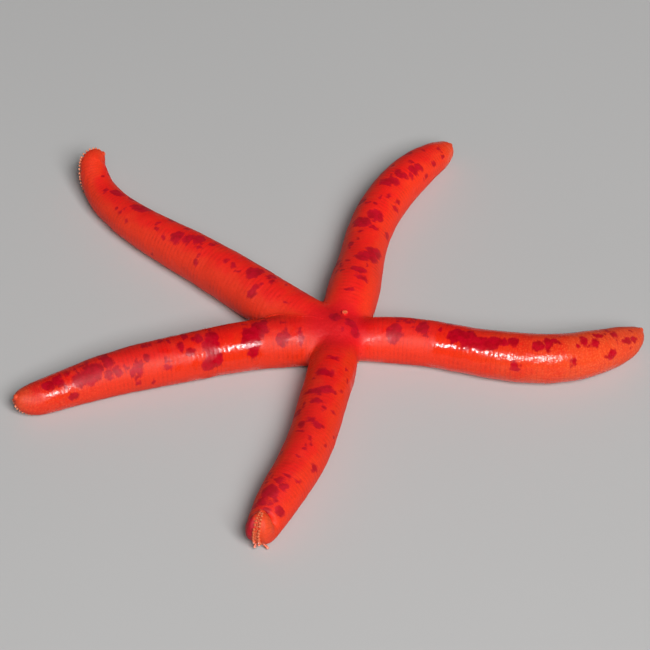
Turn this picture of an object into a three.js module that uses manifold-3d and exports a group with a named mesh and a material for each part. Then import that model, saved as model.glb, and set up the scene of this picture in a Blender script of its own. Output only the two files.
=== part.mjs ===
// A red sea star (Ophidiaster ophidianus), life size, at rest on a level floor.
//
// Frame: millimetres, +Z up, +Y away from the front arm. The origin is on the floor, in the
// middle of the whole star's outline. The animal is one body without joints, parted by thin
// cuts into its small disc and three lengths of each arm. The hard pieces that can be told
// apart from the skin are separate: the madreporite on the disc, and the terminal plate at the
// end of each arm.

import * as THREE from 'three';
import { mergeVertices } from 'three/addons/utils/BufferGeometryUtils.js';
import Module from 'manifold-3d';

const wasm = await Module();
wasm.setup();

// ---------------------------------------------------------------- driving dimensions

const GAP = 0.3; // clear space between neighbouring pieces
const BACK_FACETS = 16; // facets round the back of an arm
const RING_STEP = 6.5; // distance between cross-sections on the floor
const CURL_STEP = 3; // distance between cross-sections where an arm leaves the floor
const NOSE_RINGS = 5; // cross-sections in the rounded end of an arm
const WALK_STEP = 0.5; // step in which an arm's course is added up

// Shares of an arm's radius.
const AXIS_HEIGHT = 0.9; // height of the axis above the flat underside
const FURROW_HALF_WIDTH = 0.2; // half the width of the furrow of the tube feet
const FURROW_DEPTH = 0.25;
const FURROW_ROOF = 0.7; // width of the furrow's roof, as a share of its mouth

const DISC = { radius: 16.5, waist: 11, top: 22.6, flatRadius: 11, facets: 32 };
const MOUTH = { radius: 4.6, roofRadius: 3, depth: 4 };
const MADREPORITE = { radius: 1.5, height: 1.6, x: 3, y: 6.5, top: 22.6 };
const TERMINAL_PLATE = { radius: 1.6, inset: 1 };

// Each arm runs out from the middle of the disc. Its headings and radii are given at equal
// steps from there to its end: headings in degrees from +X towards +Y, radii where no end is
// rounded off. root is the distance at which the arm is parted from the disc, and nose is the
// length of its rounded end. rise, roll and turn say how the end leaves the floor: by is the
// angle reached between the distances from and to.
const ARMS = [
  {
    name: 'right',
    length: 148,
    root: 19,
    headings: [8, -7, -15, -5, 23, 44],
    radii: [10.4, 10.9, 11, 11.6, 10.6, 6.7],
    nose: 13,
    rise: { from: 132, to: 148, by: 18 },
  },
  {
    name: 'back_right',
    length: 155,
    root: 23,
    headings: [76, 79, 80, 67, 55, 44],
    radii: [11.4, 12.4, 10.7, 10.8, 9.9, 6.5],
    nose: 11.5,
    rise: { from: 142, to: 154, by: 14 },
  },
  {
    name: 'back_left',
    length: 181.5,
    root: 34,
    headings: [148, 138, 138, 140, 126, 98],
    radii: [12.4, 12.6, 11.9, 10.5, 8.5, 6.5],
    nose: 8,
    rise: { from: 142, to: 170, by: 22 },
    roll: { from: 152, to: 180, by: 115 },
    turn: { from: 168, to: 181.5, by: -73 },
  },
  {
    name: 'left',
    length: 153.5,
    root: 34,
    headings: [181, 187, 196, 196, 203, 199],
    radii: [12.4, 11.8, 11.3, 10.8, 9.2, 7.2],
    nose: 12,
    rise: { from: 138, to: 153, by: 38 },
  },
  {
    name: 'front',
    length: 134,
    root: 21,
    headings: [263, 258, 258, 248, 245, 256],
    radii: [11.3, 11.2, 10.9, 10.5, 9.2, 5.4],
    nose: 8,
    rise: { from: 115, to: 133, by: 140 },
  },
];

const COLOURS = { skin: 0xd42012, disc: 0xc81c1e, tip: 0xe0441a, plate: 0xe88a50, madreporite: 0xe8742c };

// ---------------------------------------------------------------- the course of an arm

// Value at a share (0 to 1) of the way through equally spaced values, on a smooth curve.
function through(values, share) {
  const last = values.length - 1;
  const place = THREE.MathUtils.clamp(share, 0, 1) * last;
  const i = Math.min(Math.floor(place), last - 1);
  const t = place - i;
  const [from, to] = [values[i], values[i + 1]];
  const slopeFrom = (to - values[Math.max(i - 1, 0)]) / 2;
  const slopeTo = (values[Math.min(i + 2, last)] - from) / 2;
  const eased = t * t * (3 - 2 * t);
  return from + (to - from) * eased + t * (1 - t) * ((1 - t) * slopeFrom - t * slopeTo);
}

// Angle in radians that a change such as an arm's rise has reached at a distance.
function reached(change, distance) {
  if (!change) return 0;
  const share = THREE.MathUtils.smoothstep(distance, change.from, change.to);
  return THREE.MathUtils.degToRad(change.by) * share;
}

// Forward, leftward and upward directions of an arm at a distance along it.
function directions(arm, distance) {
  const heading = THREE.MathUtils.degToRad(through(arm.headings, distance / arm.length))
    + reached(arm.turn, distance);
  const pitch = reached(arm.rise, distance);
  const left = new THREE.Vector3(-Math.sin(heading), Math.cos(heading), 0);
  const forward = new THREE.Vector3(Math.cos(heading), Math.sin(heading), 0)
    .multiplyScalar(Math.cos(pitch))
    .setZ(Math.sin(pitch));
  const up = forward.clone().cross(left);
  const roll = reached(arm.roll, distance);
  return { forward, left: left.applyAxisAngle(forward, roll), up: up.applyAxisAngle(forward, roll) };
}

function fullRadius(arm, distance) {
  return through(arm.radii, distance / arm.length);
}

// Radius with the end of the arm rounded off.
function roundedRadius(arm, distance) {
  const intoNose = Math.max(distance - (arm.length - arm.nose), 0) / arm.nose;
  return fullRadius(arm, distance) * Math.sqrt(Math.max(1 - intoNose * intoNose, 0));
}

// Walks along the arm and returns its frame at each of the given distances, in rising order.
function walk(arm, distances) {
  const spot = new THREE.Vector3();
  let walked = 0;
  return distances.map((distance) => {
    const steps = Math.max(Math.ceil((distance - walked) / WALK_STEP), 1);
    const step = (distance - walked) / steps;
    for (let i = 0; i < steps; i += 1) {
      spot.addScaledVector(directions(arm, walked + step / 2).forward, step);
      walked += step;
    }
    const centre = spot.clone();
    centre.z += AXIS_HEIGHT * fullRadius(arm, distance);
    return { centre, radius: roundedRadius(arm, distance), ...directions(arm, distance) };
  });
}

// Distances from one cut to the next, closer together where the arm curls.
function spaced(arm, from, to) {
  const corners = [from, Math.min(Math.max(arm.rise.from, from), to), to];
  const steps = [RING_STEP, CURL_STEP];
  const distances = [from];
  steps.forEach((step, side) => {
    const [start, end] = [corners[side], corners[side + 1]];
    const count = Math.round((end - start) / step) || (end - start > 0.1 ? 1 : 0);
    for (let i = 1; i <= count; i += 1) distances.push(start + ((end - start) * i) / count);
  });
  return distances;
}

// ---------------------------------------------------------------- solids

// Outline of an arm across its axis for a radius of one: round, flat underneath, with the
// furrow in the middle of the flat. It runs anticlockwise seen from the arm's end.
function armOutline() {
  const corner = Math.asin(AXIS_HEIGHT);
  const points = [];
  for (let i = 0; i <= BACK_FACETS; i += 1) {
    const angle = -corner + ((Math.PI + 2 * corner) * i) / BACK_FACETS;
    points.push(new THREE.Vector2(Math.cos(angle), Math.sin(angle)));
  }
  return [...points, ...furrowOutline(0).reverse()];
}

// The furrow's outline alone, opened below the underside by a margin.
function furrowOutline(margin) {
  const roof = -AXIS_HEIGHT + FURROW_DEPTH;
  return [
    new THREE.Vector2(FURROW_HALF_WIDTH, -AXIS_HEIGHT - margin),
    new THREE.Vector2(FURROW_HALF_WIDTH * FURROW_ROOF, roof),
    new THREE.Vector2(-FURROW_HALF_WIDTH * FURROW_ROOF, roof),
    new THREE.Vector2(-FURROW_HALF_WIDTH, -AXIS_HEIGHT - margin),
  ];
}

// A closed body through an outline drawn at each frame, scaled by the frame's radius.
function loft(outline, frames) {
  const positions = [];
  for (const { centre, left, up, radius } of frames) {
    for (const { x, y } of outline) {
      const point = centre.clone().addScaledVector(left, x * radius).addScaledVector(up, y * radius);
      positions.push(...point);
    }
  }
  const size = outline.length;
  const faces = [];
  for (let ring = 0; ring + 1 < frames.length; ring += 1) {
    for (let i = 0; i < size; i += 1) {
      const next = (i + 1) % size;
      const [a, b] = [ring * size + i, ring * size + next];
      faces.push(a, b, b + size, a, b + size, a + size);
    }
  }
  const end = (frames.length - 1) * size;
  for (const [a, b, c] of THREE.ShapeUtils.triangulateShape(outline, [])) {
    faces.push(a, c, b, end + a, end + b, end + c);
  }
  const geometry = new THREE.BufferGeometry();
  geometry.setAttribute('position', new THREE.Float32BufferAttribute(positions, 3));
  geometry.setIndex(faces);
  return geometry;
}

function asSolid(geometry) {
  const bare = geometry.clone();
  bare.deleteAttribute('normal');
  bare.deleteAttribute('uv');
  const merged = mergeVertices(bare, 1e-4);
  const triangles = [];
  for (let i = 0; i < merged.index.count; i += 3) {
    const corners = [0, 1, 2].map((k) => merged.index.getX(i + k));
    if (new Set(corners).size === 3) triangles.push(...corners);
  }
  return new wasm.Manifold(new wasm.Mesh({
    numProp: 3,
    vertProperties: new Float32Array(merged.attributes.position.array),
    triVerts: new Uint32Array(triangles),
  }));
}

function asGeometry(solid) {
  const { vertProperties, triVerts } = solid.getMesh();
  const geometry = new THREE.BufferGeometry();
  geometry.setAttribute('position', new THREE.BufferAttribute(vertProperties, 3));
  geometry.setIndex(new THREE.BufferAttribute(triVerts, 1));
  return geometry;
}

// A body turned about the vertical through a profile of [distance from the axis, height].
function turned(profile, facets) {
  const points = profile.map(([radius, height]) => new THREE.Vector2(radius, height));
  return new THREE.LatheGeometry(points, facets).rotateX(Math.PI / 2);
}

// ---------------------------------------------------------------- the disc

// The domed middle of the disc: a flat underside, round flanks and a low dome.
function dome() {
  const quarter = [0, 0.25, 0.5, 0.75, 1].map((share) => (share * Math.PI) / 2);
  const flank = quarter.map((a) => [
    DISC.flatRadius + (DISC.radius - DISC.flatRadius) * Math.sin(a),
    DISC.waist * (1 - Math.cos(a)),
  ]);
  const top = quarter.slice(1, -1).map((a) => [
    DISC.radius * Math.cos(a),
    DISC.waist + (DISC.top - DISC.waist) * Math.sin(a),
  ]);
  return turned([[0, 0], ...flank, ...top, [0, DISC.top]], DISC.facets);
}

function mouth() {
  const below = -1;
  const profile = [[0, below], [MOUTH.radius, below], [MOUTH.roofRadius, MOUTH.depth], [0, MOUTH.depth]];
  return turned(profile, DISC.facets);
}

// A low button with its rim rounded over, grown all round by a clearance.
function madreporite(clearance) {
  const radius = MADREPORITE.radius + clearance;
  const top = MADREPORITE.top + clearance;
  const foot = MADREPORITE.top - MADREPORITE.height - clearance;
  const profile = [[0, foot], [radius, foot], [radius, top - 0.5], [radius * 0.7, top - 0.1], [0, top]];
  return turned(profile, 16).translate(MADREPORITE.x, MADREPORITE.y, 0);
}

function disc() {
  const stubs = ARMS.map((arm) => walk(arm, spaced(arm, 0, arm.root - GAP)));
  let body = asSolid(dome());
  for (const frames of stubs) {
    body = body.add(asSolid(loft(armOutline().filter((point) => !inFurrow(point)), frames)));
  }
  for (const [i, frames] of stubs.entries()) {
    const past = walk(ARMS[i], [ARMS[i].root + 1]);
    body = body.subtract(asSolid(loft(furrowOutline(0.1), [...frames, ...past])));
  }
  return asGeometry(body.subtract(asSolid(mouth())).subtract(asSolid(madreporite(GAP))));
}

function inFurrow(point) {
  return Math.abs(point.x) <= FURROW_HALF_WIDTH && point.y < 0;
}

// ---------------------------------------------------------------- the arms

function terminalPlate(arm, clearance) {
  const [tip] = walk(arm, [arm.length - TERMINAL_PLATE.inset]);
  const ball = new THREE.SphereGeometry(TERMINAL_PLATE.radius + clearance, 10, 7);
  return ball.translate(...tip.centre);
}

// Distances of the rounded end's cross-sections; the last one closes the arm with a small flat.
function noseDistances(arm) {
  const distances = [];
  for (let i = 1; i <= NOSE_RINGS; i += 1) {
    const angle = (0.47 * Math.PI * i) / NOSE_RINGS;
    distances.push(arm.length - arm.nose * (1 - Math.sin(angle)));
  }
  return distances;
}

function armLengths(arm) {
  const third = (arm.length - arm.root) / 3;
  const [firstCut, secondCut] = [arm.root + third, arm.root + 2 * third];
  const onward = spaced(arm, secondCut, arm.length - arm.nose);
  const tip = asSolid(loft(armOutline(), walk(arm, [...onward, ...noseDistances(arm)])))
    .subtract(asSolid(terminalPlate(arm, GAP)));
  return {
    base: loft(armOutline(), walk(arm, spaced(arm, arm.root, firstCut - GAP))),
    middle: loft(armOutline(), walk(arm, spaced(arm, firstCut, secondCut - GAP))),
    tip: asGeometry(tip),
  };
}

// ---------------------------------------------------------------- assembly

const group = new THREE.Group();

function place(name, geometry, color, roughness = 0.35) {
  const material = new THREE.MeshStandardMaterial({ color, roughness, metalness: 0 });
  const mesh = new THREE.Mesh(geometry, material);
  mesh.name = name;
  group.add(mesh);
}

place('disc', disc(), COLOURS.disc);
place('madreporite', madreporite(0), COLOURS.madreporite, 0.6);
for (const arm of ARMS) {
  const { base, middle, tip } = armLengths(arm);
  place(`arm_${arm.name}_base`, base, COLOURS.skin);
  place(`arm_${arm.name}_middle`, middle, COLOURS.skin);
  place(`arm_${arm.name}_tip`, tip, COLOURS.tip);
  place(`terminal_plate_${arm.name}`, terminalPlate(arm, 0), COLOURS.plate, 0.5);
}

const outline = new THREE.Box3().setFromObject(group);
const middle = outline.getCenter(new THREE.Vector3());
group.position.set(-middle.x, -middle.y, 0);
group.updateMatrixWorld(true);

export default group;
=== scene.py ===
# %% [markdown]
# # A red sea star, life size
# This lesson dresses a smooth-armed red sea star, Ophidiaster ophidianus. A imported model
# already fixes its size, its pose and where its small disc, its five round arms, its
# madreporite and its terminal plates are. Here one living skin is drawn over all the flesh,
# and the hard parts and the many small spines and tube feet are made for it.
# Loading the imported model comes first, because every later size and place leans on it.

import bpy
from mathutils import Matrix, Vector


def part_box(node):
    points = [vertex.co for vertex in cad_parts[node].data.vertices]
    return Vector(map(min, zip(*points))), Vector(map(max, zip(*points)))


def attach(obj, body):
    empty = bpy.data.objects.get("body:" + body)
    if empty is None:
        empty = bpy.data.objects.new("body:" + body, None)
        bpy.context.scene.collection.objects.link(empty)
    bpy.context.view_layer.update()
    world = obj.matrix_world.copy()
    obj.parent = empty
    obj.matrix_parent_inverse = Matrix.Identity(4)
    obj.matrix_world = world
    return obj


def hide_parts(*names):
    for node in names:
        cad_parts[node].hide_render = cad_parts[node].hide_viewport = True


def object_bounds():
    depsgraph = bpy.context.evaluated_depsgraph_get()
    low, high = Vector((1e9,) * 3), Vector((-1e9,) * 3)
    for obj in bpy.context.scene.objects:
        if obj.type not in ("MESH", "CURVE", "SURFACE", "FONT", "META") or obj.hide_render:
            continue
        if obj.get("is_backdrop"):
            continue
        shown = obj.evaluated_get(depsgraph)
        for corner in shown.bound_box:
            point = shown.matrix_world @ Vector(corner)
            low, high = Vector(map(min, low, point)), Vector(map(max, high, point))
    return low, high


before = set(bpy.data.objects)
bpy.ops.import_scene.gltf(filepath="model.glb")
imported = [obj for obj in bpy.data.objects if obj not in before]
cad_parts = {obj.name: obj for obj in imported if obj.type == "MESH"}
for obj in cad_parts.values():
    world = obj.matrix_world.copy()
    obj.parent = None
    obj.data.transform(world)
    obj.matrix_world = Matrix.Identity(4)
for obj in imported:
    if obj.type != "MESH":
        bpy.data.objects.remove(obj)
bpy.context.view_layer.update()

# %% [markdown]
# ## The star's own measure
# A biologist gives a place on a star as a distance along an arm, from the middle of the disc,
# and a turn round it, from the ridge of the back. The lesson does the same, in millimetres,
# and turns points into Blender's metres only where a mesh is made. The madreporite shows
# where the middle of the disc is: it sits 3 mm right of it and 6.5 mm behind it.

# %% Millimetres and the middle of the disc
import math

import bpy
import numpy as np

MM = 0.001
SIEVE_SPOT = np.array([3, 6.5])
low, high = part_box("madreporite")
sieve_middle = (np.array(low) + np.array(high)) / 2 / MM
MIDDLE = np.array([*(sieve_middle[:2] - SIEVE_SPOT), 0])
print("middle of the disc at", MIDDLE.round(2), "mm")

# %% [markdown]
# ## The five arms
# Each arm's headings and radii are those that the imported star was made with, at equal steps
# from the middle to the end. Three bends come on top, each from one distance to another by
# so many degrees. The rise lifts an end off the floor: the front arm's end curls right over,
# as living stars do when they taste the water. The back left arm's end also rolls onto its
# side and turns away. The axis of an arm lies 0.9 of its radius above the floor.

# %% The arms' measures
AXIS_HEIGHT = 0.9
USUAL_RADIUS = 11
ARMS = {
    "right": dict(length=148, headings=(8, -7, -15, -5, 23, 44),
                  radii=(10.4, 10.9, 11, 11.6, 10.6, 6.7), nose=13, rise=(132, 148, 18)),
    "back_right": dict(length=155, headings=(76, 79, 80, 67, 55, 44),
                       radii=(11.4, 12.4, 10.7, 10.8, 9.9, 6.5), nose=11.5, rise=(142, 154, 14)),
    "back_left": dict(length=181.5, headings=(148, 138, 138, 140, 126, 98),
                      radii=(12.4, 12.6, 11.9, 10.5, 8.5, 6.5), nose=8, rise=(142, 170, 22),
                      roll=(152, 180, 115), turn=(168, 181.5, -73)),
    "left": dict(length=153.5, headings=(181, 187, 196, 196, 203, 199),
                 radii=(12.4, 11.8, 11.3, 10.8, 9.2, 7.2), nose=12, rise=(138, 153, 38)),
    "front": dict(length=134, headings=(263, 258, 258, 248, 245, 256),
                  radii=(11.3, 11.2, 10.9, 10.5, 9.2, 5.4), nose=8, rise=(115, 133, 140)),
}
print(len(ARMS), "arms,", sum(arm["length"] for arm in ARMS.values()), "mm together")

# %% [markdown]
# ## Walking along an arm
# An arm could be a Bezier curve with a bevel, but then a point of the skin wouldn't know how
# far along the arm it lies. Walking along the headings in small steps gives the arm's middle
# line and three directions at every distance, which everything that grows on it can use.

# %% Smooth values along an arm
def smooth_step(x, start=0.0, end=1.0):
    t = np.clip((np.asarray(x, float) - start) / (end - start), 0, 1)
    return t * t * (3 - 2 * t)


def through(values, share):
    values = np.asarray(values, float)
    last = len(values) - 1
    place = np.clip(share, 0, 1) * last
    i = np.minimum(place.astype(int), last - 1)
    t = place - i
    start, end = values[i], values[i + 1]
    slope_in = (end - values[np.maximum(i - 1, 0)]) / 2
    slope_out = (values[np.minimum(i + 2, last)] - start) / 2
    eased = t * t * (3 - 2 * t)
    return start + (end - start) * eased + t * (1 - t) * ((1 - t) * slope_in - t * slope_out)


def full_radius(arm, along):
    return through(arm["radii"], along / arm["length"])


print("right arm's radius halfway:", full_radius(ARMS["right"], np.array([74.0])).round(2), "mm")

# %% Directions and places along an arm
def angle_reached(change, along):
    start, end, by = change
    return math.radians(by) * smooth_step(along, start, end)


def directions(arm, along):
    still = (0, 1, 0)
    heading = np.radians(through(arm["headings"], along / arm["length"]))
    heading = heading + angle_reached(arm.get("turn", still), along)
    pitch = angle_reached(arm.get("rise", still), along)
    roll = angle_reached(arm.get("roll", still), along)[:, None]
    flat = 0 * heading
    left = np.stack([-np.sin(heading), np.cos(heading), flat], 1)
    forward = np.stack([np.cos(heading) * np.cos(pitch), np.sin(heading) * np.cos(pitch),
                        np.sin(pitch)], 1)
    up = np.cross(forward, left)
    return forward, left * np.cos(roll) + up * np.sin(roll), up * np.cos(roll) - left * np.sin(roll)


WALK_STEP = 0.25
PAST_END = 0.01


def walk(arm, along):
    """Points of an arm's middle line at these distances, with forward, left and up there."""
    along = np.asarray(along, float)
    marks = np.arange(0, arm["length"] + PAST_END, WALK_STEP)
    steps = directions(arm, marks[:-1] + WALK_STEP / 2)[0] * WALK_STEP
    line = np.vstack([[0, 0, 0], np.cumsum(steps, axis=0)])
    middle = np.stack([np.interp(along, marks, line[:, k]) for k in range(3)], 1)
    middle[:, 2] += AXIS_HEIGHT * full_radius(arm, along)
    return (middle,) + directions(arm, along)


ends = {name: walk(arm, [arm["length"]])[0][0] for name, arm in ARMS.items()}
print({name: end.round(1).tolist() for name, end in ends.items()})

# %% [markdown]
# ## The section of an arm
# Cut across, an arm is round, with a flat sole and a furrow in the middle of the sole, where
# the tube feet stand. The outline is found by looking out from the middle in every direction
# until the circle or the sole is met, with the corner between them softened. Its points are
# then spread evenly along it, so that the furrow's walls get their share.

# %% The outline of one section
AROUND = 144
QUARTER = AROUND // 4
SOLE = 0.82
SOFT_CORNER = 0.035
FURROW = dict(foot=0.215, head=0.13, depth=0.27)
OUTLOOKS = 3001
HALVINGS = 40
OUTERMOST = 1.2


def furrow_lift(sideways):
    return FURROW["depth"] * smooth_step(-np.abs(sideways), -FURROW["foot"], -FURROW["head"])


def half_outline():
    """One half of the section, from the ridge round to the middle of the sole."""
    turn = np.linspace(0, math.pi, OUTLOOKS)
    near, far = np.zeros_like(turn), np.full_like(turn, OUTERMOST)
    for _ in range(HALVINGS):
        reach = (near + far) / 2
        round_gap = (reach - 1) / SOFT_CORNER
        sole_gap = (-SOLE - reach * np.cos(turn)) / SOFT_CORNER
        outside = np.logaddexp(round_gap, sole_gap) > 0
        near, far = np.where(outside, near, reach), np.where(outside, reach, far)
    x, y = reach * np.sin(turn), reach * np.cos(turn)
    lifted = y + np.where(y < 0, furrow_lift(x), 0)
    run = np.concatenate([[0], np.cumsum(np.hypot(np.diff(x), np.diff(lifted)))])
    even = np.linspace(0, run[-1], 2 * QUARTER + 1)
    return np.interp(even, run, x), np.interp(even, run, y)


half_x, half_y = half_outline()
outline_x = np.concatenate([half_x, -half_x[-2:0:-1]])
outline_y = np.concatenate([half_y, half_y[-2:0:-1]])
outline_lift = np.where(outline_y < 0, furrow_lift(outline_x), 0)
outline_turn = np.arctan2(outline_x, outline_y)
print("side point of the section turned by", round(math.degrees(outline_turn[QUARTER])), "degrees")

# %% [markdown]
# ## Where the arms meet
# Near the disc the skin runs over from one arm to the next in a soft crotch. Each arm counts
# as a round bar there. The distance to the joined bars is a blend that leans to the nearest
# one: it rounds the crotch just as skin does, and the sole cuts all of them level. A point
# of the skin is pulled along the slope of that distance until it is zero.

# %% The joined arms as one distance
CROTCH = 1.5
WAIST = dict(share=0.2, reach=12)
NEAR_REACH = 66
near_marks = np.arange(0, NEAR_REACH, 0.5)
near_arms = {name: walk(arm, near_marks) for name, arm in ARMS.items()}


def skin_radius(arm, along):
    slim = 1 - WAIST["share"] * np.exp(-(along / WAIST["reach"]) ** 2)
    into_nose = np.clip((along - arm["length"] + arm["nose"]) / arm["nose"], 0, 1)
    return full_radius(arm, along) * slim * np.sqrt(1 - into_nose**2)


def beside(name, points):
    """Distance along an arm, offset from its middle line, leftward share, upward share."""
    middle, forward, left, up = near_arms[name]
    apart = (points[:, None, 0] - middle[None, :, 0]) ** 2
    apart += (points[:, None, 1] - middle[None, :, 1]) ** 2
    mark = apart.argmin(axis=1)
    onward = ((points - middle[mark]) * forward[mark]).sum(axis=1)
    onward = np.where((mark == 0) & (onward < 0), 0, onward)
    offset = points - middle[mark] - forward[mark] * onward[:, None]
    sideways, upward = ((offset * way[mark]).sum(axis=1) for way in (left, up))
    return near_marks[mark] + onward, offset, sideways, upward


def joined(points):
    """Gap to the joined skin, its slope, each arm's say in it, and each arm's measures."""
    gaps, outward, measures = [], [], []
    for name, arm in ARMS.items():
        along, offset, sideways, upward = beside(name, points)
        reach = np.linalg.norm(offset, axis=1) + 1e-9
        radius = skin_radius(arm, along)
        gaps.append(reach - radius)
        outward.append(offset / reach[:, None])
        measures.append((along, sideways, upward, radius))
    gaps, outward = np.array(gaps), np.array(outward)
    nearest = gaps.min(axis=0)
    say = np.exp(-(gaps - nearest) / CROTCH)
    gap = nearest - CROTCH * np.log(say.sum(axis=0))
    say /= say.sum(axis=0)
    slope = (say[:, :, None] * outward).sum(axis=0)
    radius = sum(s * m[3] for s, m in zip(say, measures))
    soft = SOFT_CORNER * radius
    sole_gap = (AXIS_HEIGHT - SOLE) * radius - points[:, 2]
    both = soft * np.logaddexp(gap / soft, sole_gap / soft)
    sole_say = np.exp((sole_gap - both) / soft)[:, None]
    slope = slope * (1 - sole_say) + np.array([0, 0, -1]) * sole_say
    return both, slope, say, measures


LOOK = dict(low=18, high=27, step=0.05)
heights = np.arange(LOOK["low"], LOOK["high"], LOOK["step"])
gap_above = joined(np.array([[0.0, 0, z] for z in heights]))[0]
disc_top = LOOK["low"] + LOOK["step"] * int((gap_above < 0).sum())
print("top of the disc at", round(disc_top, 2), "mm")

# %% [markdown]
# ## Where each arm's own rings begin
# The skin is a net of rings along each arm, and a patch over and under the disc. Next to a
# neighbour a ring can only begin beyond the crotch, but on the ridge of the back it can begin
# further in. So the first ring of an arm slants: it starts at the crotch on either side, and
# nearer the middle above and below.

# %% Find the crotches and the slanting first rings
NAMES = list(ARMS)
FIRST_PLATE = 5
PAST_CROTCH = 1.5


def crotch_distance(name, other, side):
    """Distance along an arm at which its flank leaves its neighbour's."""
    middle, _, left, _ = near_arms[name]
    flank = middle + side * left * skin_radius(ARMS[name], near_marks)[:, None]
    along, offset, _, _ = beside(other, flank)
    inside = np.linalg.norm(offset, axis=1) < skin_radius(ARMS[other], along)
    return near_marks[np.nonzero(inside)[0].max()] + PAST_CROTCH


crotches = {}
for i, name in enumerate(NAMES):
    crotches[name] = (crotch_distance(name, NAMES[(i + 1) % 5], 1),
                      crotch_distance(name, NAMES[(i - 1) % 5], -1))
    print(name, "leaves its neighbours at", crotches[name], "mm")

# %% [markdown]
# ## Rings of plates
# Under the skin, small chalky plates stand in rings about 2.1 mm apart, and closer towards
# the thin end of an arm. The net has five of its rings to each ring of plates, so that the
# fine grooves between the plates always fall on points of the net.

# %% Net rings that keep step with the plates
PLATE_PITCH = 2.1
PER_PLATE = 5
COUNT_STEP = 0.1
SLANT_RUN = 6
NOSE = dict(step=0.26, first=0.03, last=0.485 * math.pi)


def plates_counted(arm):
    """Distances along an arm, and how many rings of plates lie within each."""
    marks = np.arange(0, arm["length"] + PAST_END, COUNT_STEP)
    pitch = PLATE_PITCH * (0.4 + 0.6 * full_radius(arm, marks) / USUAL_RADIUS)
    return marks, np.concatenate([[0], np.cumsum(COUNT_STEP / pitch[:-1])])


def net_rings(name):
    """Distances along an arm of all points of its rings: first slanting, then even ones."""
    arm = ARMS[name]
    marks, count = plates_counted(arm)
    ridge_start = np.interp(FIRST_PLATE, count, marks)
    sway = np.abs(np.sin(outline_turn)) ** 3
    flank_start = np.where(outline_turn > 0, *crotches[name])
    first = ridge_start + sway * (flank_start - ridge_start)
    even_plate = math.ceil(np.interp(first.max() + SLANT_RUN, marks, count))
    even_from = np.interp(even_plate, count, marks)
    slants = PER_PLATE * (even_plate - FIRST_PLATE)
    ridge = np.interp(FIRST_PLATE + np.arange(slants) / PER_PLATE, count, marks)
    share = ((ridge - ridge_start) / (even_from - ridge_start))[:, None]
    slanting = first + share * (even_from - first)
    nose_from = arm["length"] - arm["nose"]
    steps = np.arange(PER_PLATE * even_plate, PER_PLATE * np.interp(nose_from, marks, count))
    even = np.interp(steps / PER_PLATE, count, marks)
    bend = np.linspace(NOSE["first"], NOSE["last"], round(arm["nose"] / NOSE["step"]))
    even = np.concatenate([even, nose_from + arm["nose"] * np.sin(bend)])
    return np.vstack([slanting, np.repeat(even[:, None], AROUND, axis=1)])


# %% [markdown]
# Towards its end a furrow grows shallow, and its edges close over the last tube feet. Where an
# end curls over, its back is tucked in, so that the skin folds like a finger's and doesn't
# cross itself.

# %% Points of every arm's rings
CLOSES = dict(start=24, end=9, share=0.85)
TUCK = 1.1


def closing(arm, along):
    return 1 - smooth_step(arm["length"] - along, CLOSES["end"], CLOSES["start"])


def tucked(arm, along, upward):
    """Upward offsets kept short of the hub of a bend, so that the skin never crosses itself."""
    start, end, by = arm["rise"]
    t = np.clip((along - start) / (end - start), 0, 1)
    bend = math.radians(by) * 6 * t * (1 - t) / (end - start)
    return upward / (1 + (TUCK * bend * np.maximum(upward, 0)) ** 4) ** 0.25


places, alongs, arm_of, turns, lifts, ids = [], [], [], [], [], {}
made = 0
for i, name in enumerate(NAMES):
    arm = ARMS[name]
    along = net_rings(name)
    rings = len(along)
    middle, forward, left, up = walk(arm, along.ravel())
    radius = skin_radius(arm, along.ravel())
    x, y = np.tile(outline_x, rings), np.tile(outline_y, rings)
    upward = tucked(arm, along.ravel(), y * radius)
    places.append(middle + left * (x * radius)[:, None] + up * upward[:, None])
    open_share = 1 - CLOSES["share"] * closing(arm, along.ravel())
    lifts.append(up * (np.tile(outline_lift, rings) * radius * open_share)[:, None])
    alongs.append(along.ravel())
    turns.append(np.tile(outline_turn, rings))
    arm_of.append(np.full(rings * AROUND, i))
    ids[name] = made + np.arange(rings * AROUND).reshape(rings, AROUND)
    made += rings * AROUND
print(made, "points in", sum(len(v) for v in ids.values()), "rings")

# %% [markdown]
# ## The patches over and under the disc
# Over the disc five rings' upper halves meet: a five-sided hole. Its neat filling is five
# four-sided nets, one to each crotch, which share the lines from the ridges to the middle.
# Each net is first stretched between its four edges like cloth in a frame, then pulled onto
# the joined skin. The hole under the disc, round the mouth, is filled the same way.

# %% Stretch the nets
SIDE = QUARTER + 1
SOLE_CENTRE = 1.8
base = np.vstack(places)
for i, name in enumerate(NAMES):
    after = NAMES[(i + 1) % 5]
    shared, twin = ids[name][0, QUARTER], ids[after][0, -QUARTER]
    base[shared] = (base[shared] + base[twin]) / 2
    ids[after][0, -QUARTER] = shared
extra_places = []


def new_points(points):
    global made
    extra_places.append(np.atleast_2d(points))
    fresh = made + np.arange(len(extra_places[-1]))
    made += len(fresh)
    return fresh


def stretch(first, second, third, fourth):
    """A net between four edges: first and third run along u, second and fourth along v."""
    u = np.linspace(0, 1, SIDE)[:, None, None]
    v = np.linspace(0, 1, SIDE)[None, :, None]
    net = (1 - v) * first[:, None] + v * third[:, None] + (1 - u) * fourth[None] + u * second[None]
    net -= (1 - u) * (1 - v) * first[0] + u * (1 - v) * first[-1]
    net -= (1 - u) * v * third[0] + u * v * third[-1]
    return net


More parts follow.
